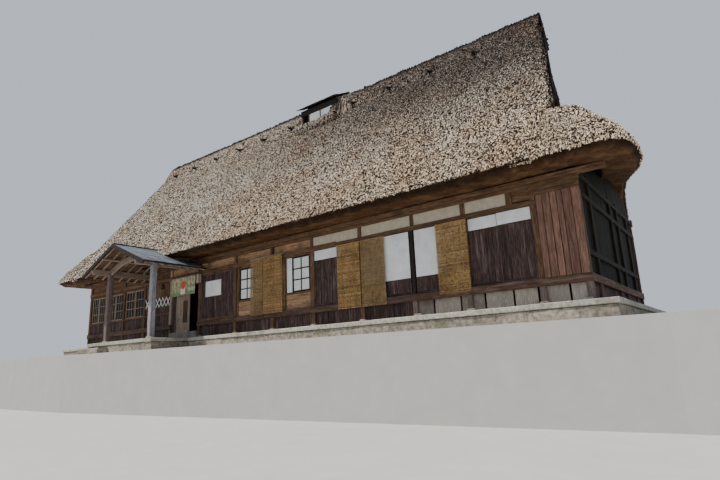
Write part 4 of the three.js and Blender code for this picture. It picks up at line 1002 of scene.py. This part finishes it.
finishes["cloth"] = clothFinish()
curtain = addPiece("door_curtain", "cloth", "cloth", clothShape(), replaces="noren", smooth=5)
thickness = curtain.modifiers.new("thickness", "SOLIDIFY")
thickness.thickness = 0.002
thickness.offset = 0
addPiece("curtain_rod", "post", "timber",
    bars([-4.87, -3.5753, 3.0], [-2.99, -3.5753, 3.0], up, 0.03, 0.03, rings=9, sides=10), replaces="noren_rod")
print("cloth ready")


# Wall base: sill, skirting boards, stub posts and footing stones

def wallBase(name, x0, x1, side, node, board, boardSlot):
    posts = [x for x in wall["posts"] if x0 - 0.2 <= x <= x1 + 0.05]
    y = lambda near, far: sorted((side * near, side * far))
    eastern = boardSlot == "timber"  # the eastern length has a redder sill and wider boards
    addPiece(name + "_sill", "sill" if eastern else "oldSill", "timber",
        beamX(x0 - 0.03 * (x0 < -11), x1 + 0.03 * (x1 > 11), *y(3.53, 3.37), 0.9, 1.1, **hewn), replaces=node)
    addPiece(name + "_stubs", "brown" if eastern else "timber", "timber",
        upright(np.clip(posts, x0 + 0.075, x1 - 0.075), *y(3.505, 3.365), 0.5, 0.91, 0.15, **hewn))
    pitch, gap = (0.68, 0.05) if eastern else (0.34, 0.008)
    addPiece(name + "_skirting", board, boardSlot,
        standBoards(x0 + 0.02, x1 - 0.02, 0.42, 0.905, round((x1 - x0) / pitch), 0.03, uneven=0.4, lift=0.006,
                    gap=gap, y=side * 3.42))
    stones = [(x, side * 3.42, 0.485) for x in np.clip(posts, x0 + 0.14, x1 - 0.14)]
    addPiece(name + "_footings", "rough", "stone", boulders(stones, [0.27, 0.24, 0.13], 0.5, 0.1))


wallBase("base_east", 7.165, 12.0, -1, "wall_base_front_east", "pale", "timber")
wallBase("base_middle", -2.925, 7.165, -1, None, "dark", "dark_board")
wallBase("base_west", -12.0, -4.776, -1, "wall_base_front_west", "dark", "dark_board")
wallBase("base_back", -12.0, 12.0, 1, "wall_base_back", "dark", "dark_board")
print("wall base ready")


# Back wall: boards between the posts, with lattice windows

backBays = [(9.065, 10.725), (5.505, 7.105), (1.525, 3.205), (-2.715, -0.765), (-6.765, -4.985),
            (-10.265, -8.835)]
inner = np.clip(wall["posts"], -11.925, 11.925)
addPiece("back_posts", "timber", "timber",
    upright(inner, 3.35, 3.5, 1.1003, 2.972, 0.15, **hewn),
    upright(inner, 3.446, 3.5, 3.128, 3.4297, 0.15, **hewn),
    beamX(-12.0, 12.0, 3.35, 3.56, 2.9703, 3.1297, **hewn),
    beamsX(3.40, 3.49, *[(x0 - 0.06, x1 + 0.06, *z) for z in ((1.55, 1.62), (2.88, 2.95))
                         for x0, x1 in backBays]),
    replaces="back_wall")
edges = sorted(wall["posts"])
backBoards = []
for x0, x1 in zip(edges[:-1], edges[1:]):
    x0, x1 = x0 + 0.075, x1 - 0.075
    top = 1.58 if any(w0 < (x0 + x1) / 2 < w1 for w0, w1 in backBays) else 2.97
    backBoards.append(standBoards(x0, x1, 1.1, top, round((x1 - x0) / 0.22), y=3.432))
    backBoards.append(layBoards(x0, x1, 3.13, 3.43, 2, y=3.425))
addPiece("back_boards", "dark", "dark_board", *backBoards)
sashBars, sashPanes = latticeSashes(backBays, 1)
addPiece("back_sash_bars", "post", "timber", sashBars)
addPiece("back_sash_panes", "pane", "window_pane", sashPanes, replaces="back_windows")
addPiece("back_plate", "timber", "timber", beamX(-12.03, 12.03, 3.38, 3.59, 3.43, 3.6597, **hewn),
         replaces="plate_back")
print("back wall ready")


# End walls: posts, rails and upright boards that rise into the skirt, on a sill with footing stones

endPosts = np.array([-2.52, -0.05, 0.95, 2.47])


def endWall(name, side):
    def at(x, z):  # a point on each of the wall's posts
        return np.c_[np.full(4, side * x), endPosts, np.full(4, z)]

    def across(x, z, half, width, depth, **more):  # a beam along the wall
        return bars([side * x, -half, z], [side * x, half, z], up, width, depth, **more, **hewn)

    boardsTop = lambda base: 2.9 + 0.6 * (1 - (base[:, 1:2] / 3.4) ** 2)
    gableTop = lambda base: 9.6 - 3.5 - np.abs(base[:, 1:2]) * roofSlope
    # The end walls' boards, posts, rails and gable beams are painted near black: painted shade under the
    # skirts.
    addPiece(name + "_boards", "shadeBoards", "dark_board",
        boards([side * 11.93, -3.35, 1.1], north, up, 6.7, boardsTop, 30, 0.026), replaces="wall_" + name)
    rails = [across(11.94, z, 3.34, 0.13, 0.14, rings=7) for z in (1.62, 3.05, 3.56)]
    addPiece(name + "_posts", "shadePost", "timber",
        bars(at(11.935, 1.1003), at(11.935, 3.7003), north, 0.15, 0.15, **hewn), *rails)
    addPiece(name + "_sill", "sill", "timber", across(11.95, 1.0, 3.3697, 0.2, 0.16, rings=7),
        bars(at(11.93, 0.5), at(11.93, 0.91), north, 0.15, 0.14, **hewn), replaces="wall_base_" + name)
    addPiece(name + "_skirting", "dark", "dark_board",
        boards([side * 11.92, -3.27, 0.42], north, up, 6.54, 0.485, 19, 0.03, uneven=0.4))
    addPiece(name + "_footings", "rough", "stone", boulders(at(11.92, 0.485), [0.24, 0.27, 0.13], 0.5, 0.1))
    beams = [across(10.262, z, half, 0.14, 0.05) for z, half in ((6.9, 1.8), (8.3, 0.82))]
    struts = bars([side * 10.262, 0, 6.9], [side * 10.262, 0, 9.4], north, 0.13, 0.05, **hewn)
    addPiece(name + "_gable", "dark", "dark_board",
        boards([side * 10.22, -3.37, 3.5], north, up, 6.74, gableTop, 30, 0.05), replaces="gable_" + name)
    addPiece(name + "_gable_beams", "shadePost", "timber", struts, *beams)


endWall("east", 1)
endWall("west", -1)
print("end walls ready")


# Ridge: bark laid over the top in lapped lengths, lumpy and uneven. A ring is the section at one x: up one
# side, over the top and down the other, then back underneath. Where heap is 1 the straw is piled up at the
# start of the length, to a lid that falls from the middle as the smoke vent's roof does, and tails off
# along x.

ridge = {"reach": 0.64, "thick": 0.10, "lap": 0.85, "lidZ": 10.53, "lidFall": 0.524}


def ridgeLength(x0, x1, seed, heap=0.0):
    x = np.concatenate([np.arange(x0, x1, 0.055), [x1]])
    around = np.linspace(-1, 1, 31)[None]
    lap = ((x / ridge["lap"] + 0.21 * np.sin(x * 1.9)) % 1)[:, None]
    edge = 1 + 0.10 * softNoise(np.c_[x, 0 * x, 0 * x], 2.3, seed)[:, None] - 0.05 * lap
    rise = heap * (1 - smoothStep(x, x0 + 0.45, x0 + 1.5))[:, None]
    y = around * (ridge["reach"] + 0.02 + 0.27 * rise) * edge
    arch = roof["ridgeZ"] - np.sqrt(y ** 2 + 0.01) * roofSlope + 0.17 - 0.21 * around ** 2
    base = np.stack([x[:, None] + 0 * y, y, arch], -1)
    rough = sum(amount * softNoise(base, scale, seed + k)
                for k, (amount, scale) in enumerate(((0.030, 1.7), (0.022, 5.2), (0.018, 13.0))))
    top = (ridge["thick"] * (0.78 + 0.34 * (1 - lap)) + rough) * (1 - 0.95 * np.abs(around) ** 4)
    lid = ridge["lidZ"] - np.abs(y) * ridge["lidFall"]
    top = top + rise * np.clip(lid - arch - top, 0, None) * (1 - np.abs(around) ** 8)
    rings = np.concatenate([base + up * top[..., None], base[:, ::-1] - up * 0.05], axis=1)[::-1]
    run = np.broadcast_to(np.linspace(0, 4.4, rings.shape[1]), rings.shape[:2])
    grain = np.stack([rings[..., 0], run, 0 * run + 0.45], -1)
    straw = tuftsOver(rings, grain, (1, 29), 0.085, swing=1.5, long=(0.09, 0.17), wide=(0.05, 0.1),
                      high=(0.02, 0.06))
    return gather(ringSolid(rings, grain, 0 * run), straw)


stubs = {"first": -9.3, "step": 1.79, "count": 11, "y": 0.56, "z": 9.622}
vent = {"x0": 0.38, "x1": 2.56, "ridgeZ": 10.655, "posts": [0.50, 0.91, 1.56, 2.24, 2.44]}
stubX = stubs["first"] + stubs["step"] * np.arange(stubs["count"])
stubX = stubX[(stubX < vent["x0"]) | (stubX > vent["x1"])]


# The ends of the poles that pin the ridge down, each with a short brace across it, on both slopes.
def poleEnds(xs):
    shapes = []
    offset = lambda x, y, z: np.c_[x + 0 * xs, y + 0 * xs, z + 0 * xs]
    for side in (-1, 1):
        low = offset(xs, side * stubs["y"], stubs["z"])
        tip = low + offset(rng.uniform(-0.05, 0.05, len(xs)), side * 0.27, rng.uniform(-0.01, 0.05, len(xs)))
        brace = low + offset(0.13, side * 0.03, 0.05)
        shapes += [bars(low, tip, east, 0.09, 0.09, rings=4, sides=9, wobble=0.006),
                   bars(brace, brace + offset(-0.2, side * 0.16, 0), up, 0.06, 0.06, rings=3, sides=7,
                        wobble=0.005)]
    return gather(*shapes)


addPiece("ridge_bark_west", "bark", "bark", ridgeLength(-10.42, 0.44, 21), replaces="ridge_cap_west", smooth=1)
addPiece("ridge_bark_east", "bark", "bark", ridgeLength(2.10, 10.81, 31, 1.0), replaces="ridge_cap_east",
         smooth=1)
addPiece("ridge_poles", "black", "bark", poleEnds(stubX))
print("ridge ready")


# Smoke vent: a boarded box astride the ridge, with two white panels and an open bay under a small gabled roof

def ventRoof():
    shapes = []
    ridgeEnd = np.array([vent["x0"], 0, vent["ridgeZ"]])
    for side in (-1, 1):
        fall = np.array([0, side * 1.05, -0.55])
        way = unit(fall)
        for course in range(4):
            a, b = max(course / 4 - 0.02, 0), min((course + 1) / 4 + 0.02, 1)
            size = np.linalg.norm(fall) * (b - a)
            middle = ridgeEnd + fall * a + fall * (b - a) / 2 + [0, 0, 0.012 * (course % 2)]
            shape = boards(middle, east, way, vent["x1"] - vent["x0"], size, 9, 0.022, lift=0.004, gap=0.006)
            shapes.append((shape[0] - way * size / 2, *shape[1:]))
    return gather(*shapes, bars(ridgeEnd, [vent["x1"], 0, vent["ridgeZ"]], north, 0.16, 0.05, rings=9,
                                wobble=0.003))


addPiece("vent_roof", "dark", "bark", ventRoof(), replaces="smoke_vent")
addPiece("vent_frame", "brown", "bark",
    upright(vent["posts"], -0.82, -0.76, 9.2, 10.1, 0.05), upright(vent["posts"], 0.76, 0.82, 9.2, 10.1, 0.05),
    *[bars([x, side * 0.78, 10.11], [x, 0, 10.55], east, 0.05, 0.05) for x in (0.47, 2.47) for side in (-1, 1)])
# The beams are black; the upper pair, just under the eaves, is painted shade of the vent roof.
addPiece("vent_beams", "black", "bark",
    beamX(0.46, 2.48, -0.835, -0.765, 9.86, 10.11), beamX(0.46, 2.48, 0.765, 0.835, 9.86, 10.11),
    beamX(0.46, 2.48, -0.825, -0.76, 9.36, 9.43), beamX(0.46, 2.48, 0.76, 0.825, 9.36, 9.43))
points, faces, grain, tone = gather(*[
    bars([0.34, side * 0.94, 9.21], [2.5, side * 0.94, 9.21], up, 0.48, 0.24, rings=34, sides=16, wobble=0.03)
    for side in (-1, 1)])  # straw bedded against the foot of the box
grain[:, 2] = 0.45
addPiece("vent_foot", "bark", "thatch", (points, faces, grain, 0 * tone), smooth=1)
addPiece("vent_panels", "paper", "paper", *[slab(a, b, side * 0.79 - 0.006, side * 0.79 + 0.006, 9.42, 10.04)
                                       for a, b in ((0.93, 1.54), (1.58, 2.22)) for side in (-1, 1)])
ventTop = lambda base: 1.2 - np.abs(base[:, 1:2]) * 0.52
addPiece("vent_ends", "dark", "bark",
    *[boards([x, -0.76, 9.3], north, up, 1.52, ventTop, 8, 0.02) for x in (0.475, 2.465)])
print("vent ready")


# Porch: two posts, side beams, a bowed front beam, rafters and purlins under a roof of lapped sheets

porch = {"west": -6.11, "east": -2.91, "postY": (-5.6, -5.4), "ridgeX": -4.51, "ridgeZ": 4.15, "half": 2.32,
         "eaveZ": 3.18, "front": -6.3, "back": -3.62}
porchFall = (porch["ridgeZ"] - porch["eaveZ"]) / porch["half"]
rafters, sheets, deck, barge = [], [], [], []


# A member laid front to back under one slope, from a point on the ridge's line.
def alongY(point, across, width, depth, start=porch["front"], end=porch["back"], **more):
    return bars(point + [0, start, 0], point + [0, end, 0], across, width, depth, **more)


for side in (-1, 1):
    way = np.array([side, 0, -porchFall])
    slopeLength = np.linalg.norm(way) * porch["half"]
    way = unit(way)
    out = np.array([side * -way[2], 0, side * way[0]])
    ridgePoint = np.array([porch["ridgeX"], 0, porch["ridgeZ"]])
    for y in np.linspace(-6.22, -3.75, 8):
        start = ridgePoint + [0, y, 0] - out * 0.115
        rafters.append(bars(start, start + way * (slopeLength - 0.02), north, 0.055, 0.06, rings=6,
                            wobble=0.003))
    for share in (0.36, 0.72):
        rafters.append(alongY(ridgePoint + way * slopeLength * share - out * 0.17, way, 0.08, 0.06, rings=6,
                              wobble=0.003))
    for a, b in zip(np.linspace(0, 0.8, 5), np.linspace(0.2, 1, 5)):
        deep = ridgePoint + way * slopeLength * (a + b) / 2
        high = porch["ridgeZ"] - porchFall * porch["half"] * (a + b) / 2 > 3.6  # these stop at the thatch
        ys = np.linspace(-6.325, -4.5, 6) if high else np.linspace(-6.325, -3.61, 7)
        starts = np.array([deep + [0, y0, 0] for y0 in ys[:-1]]) - out * 0.012
        tilt = out * 0.008
        sheets.append(bars(starts + tilt, starts + [0, ys[1] - ys[0] - 0.006, 0] - tilt * 0.2, way,
                           slopeLength / 5 + 0.02, 0.018, rings=4, wobble=0.0025, chamfer=0.003))
        deck.append(alongY(deep - out * 0.05, way, slopeLength / 5 - 0.006, 0.03, end=ys[-1], rings=4))
    start = ridgePoint + [0, -6.325, 0] - out * 0.085
    barge.append(bars(start, start + way * slopeLength, out, 0.14, 0.045, rings=6, chamfer=0.006, wobble=0.003))
    barge.append(alongY(ridgePoint + way * (slopeLength - 0.02) - out * 0.05, out, 0.06, 0.035, rings=6))
sheets.append(alongY(ridgePoint - up * 0.012, east, 0.24, 0.03, -6.34, -4.45, rings=6, wobble=0.003))
addPiece("porch_sheets", "slate", "slate", *sheets, replaces="porch_roof")
addPiece("porch_deck", "timber", "timber", *deck)
addPiece("porch_barge", "black", "dark_board", *barge)
addPiece("porch_rafters", "post", "timber", *rafters)
sideBeams = [bars([x, -6.25, 3.25], [x, -3.592, 3.25], up, 0.235, 0.12, rings=8, **hewn)
             for x in (porch["west"], porch["east"])]
porchPost = {"rings": 7, "chamfer": 0.02, "wobble": 0.005}
addPiece("porch_post_west", "brown", "timber",
    upright(porch["west"], *porch["postY"], 0.45, 3.26, 0.2, **porchPost))
t = np.linspace(0, 1, 17)
bow = np.c_[porch["west"] + 3.2 * t, np.full_like(t, -5.5), 3.275 + 0.385 * np.sin(np.pi * t)]
addPiece("porch_beams", "post", "timber", sweep(bow[None], up, 0.25, 0.11, chamfer=0.025, wobble=0.004),
         *sideBeams,
    replaces="porch_frame")
addPiece("porch_post_east", "grey", "timber",
    upright(porch["east"], *porch["postY"], 0.45, 3.26, 0.2, **porchPost))
addPiece("porch_bases", "rough", "stone",
    boulders([[x, -5.5, 0.45] for x in (porch["west"], porch["east"])], [0.3, 0.3, 0.09], 0.5, 0.06))
addPiece("lamp_frame", "timber", "light_board",
    upright([-2.875, -2.705], -3.645, -3.62, 2.61, 3.0, 0.022),
    upright([-2.875, -2.705], -3.525, -3.5003, 2.61, 3.0, 0.022),
    slab(-2.895, -2.685, -3.66, -3.5003, 2.985, 3.01), slab(-2.888, -2.692, -3.65, -3.5003, 2.6, 2.625),
    beamX(-2.865, -2.715, -3.645, -3.63, 2.8, 2.812), replaces="porch_lamp")
addPiece("lamp_paper", "plaster", "paper", slab(-2.867, -2.713, -3.636, -3.51, 2.62, 2.99))

# The bell is a profile of radius and height turned about its rod.
bell = {"x": -3.53, "y": -4.7, "profile": [
    (0.001, 2.455), (0.046, 2.45), (0.066, 2.41), (0.073, 2.378), (0.08, 2.37), (0.08, 2.38), (0.071, 2.43),
    (0.063, 2.495), (0.05, 2.55), (0.023, 2.572), (0.001, 2.575)]}
radius, height = np.array(bell["profile"]).T[..., None]
turn = np.linspace(0, 2 * np.pi, 25)[:-1]
rings = np.stack([bell["x"] + radius * np.cos(turn), bell["y"] + radius * np.sin(turn), height + 0 * turn], -1)
addPiece("hanging_bell", "iron", "iron", ringSolid(rings, rings, np.full(rings.shape[:2], 0.5)),
    bars([bell["x"], bell["y"], 2.55], [bell["x"], bell["y"], 3.62], east, 0.012, 0.012, sides=8),
    replaces="porch_bell", smooth=1)
print("porch ready")


# Plinth: kerb slabs over a rough course, laid round the outline, with packed earth inside the kerb

plinth = {"half": (12.65, 4.35), "porch": (-7.0, -2.3, -5.85), "deep": 0.46}


def plinthCorners(inset):
    x, y = plinth["half"][0] - inset, plinth["half"][1] - inset
    p0, p1, front = plinth["porch"][0] + inset, plinth["porch"][1] - inset, plinth["porch"][2] + inset
    return [(-x, -y), (p0, -y), (p0, front), (p1, front), (p1, -y), (x, -y), (x, y), (-x, y)]


# Stones end to end along each side of the outline, each set in by half its depth. A side's stones start and
# end short of the corner by these shares of the depth, so that the sides meet without overlapping.
sideTrims = [(0, 0), (-1, 0), (1, 1), (0, -1), (0, 0), (1, 1), (0, 0), (1, 1)]


def courseOf(inset, deep, z0, z1, length, **more):
    shapes = []
    corners = [np.array([*corner, 0.0]) for corner in plinthCorners(inset)]
    for start, end, (trimStart, trimEnd) in zip(corners, corners[1:] + corners[:1], sideTrims):
        run = np.linalg.norm(end - start)
        way = (end - start) / run
        first, last = trimStart * deep, run - trimEnd * deep
        count = max(1, round((last - first) / length))
        cuts = np.linspace(first, last, count + 1)
        cuts[1:-1] += rng.uniform(-0.2, 0.2, count - 1) * (last - first) / count
        middle = start + np.cross(up, way) * deep / 2 + up * (z0 + z1) / 2
        lows, highs = middle + way * (cuts[:-1, None] + 0.003), middle + way * (cuts[1:, None] - 0.003)
        shapes.append(bars(lows, highs, up, z1 - z0, deep, rings=9, **more))
    return gather(*shapes)


addPiece("kerb_slabs", "stone", "stone",
    courseOf(0.003, plinth["deep"], 0.2903, 0.42, 1.7, chamfer=0.014, wobble=0.0022), replaces="plinth_kerb")
addPiece("base_stones", "rough", "stone", courseOf(0.036, 0.4, 0.0, 0.29, 0.95, chamfer=0.022, wobble=0.005),
    replaces="plinth_base")
outline = np.array(plinthCorners(plinth["deep"] - 0.01))
flat = np.stack([np.c_[outline, np.full(8, z)] for z in (0.05, 0.408)])
addPiece("earth_floor", "earth", "stone", ringSolid(flat, flat, np.full((2, 8), 0.5)))
addPiece("step_stones", "rough", "stone",
    bars([[-6.94, -6.04, 0.105], [-6.08, -6.04, 0.11]], [[-6.09, -6.04, 0.11], [-5.31, -6.04, 0.108]], up,
         0.21, 0.41, rings=8, chamfer=0.03, wobble=0.008), replaces="porch_step")
print("plinth ready")

# The raised floor is the frame's own solid, with a finish of boards.
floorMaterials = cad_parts["raised_floor"].data.materials
floorMaterials.clear()
floorMaterials.append(finishes["light"])
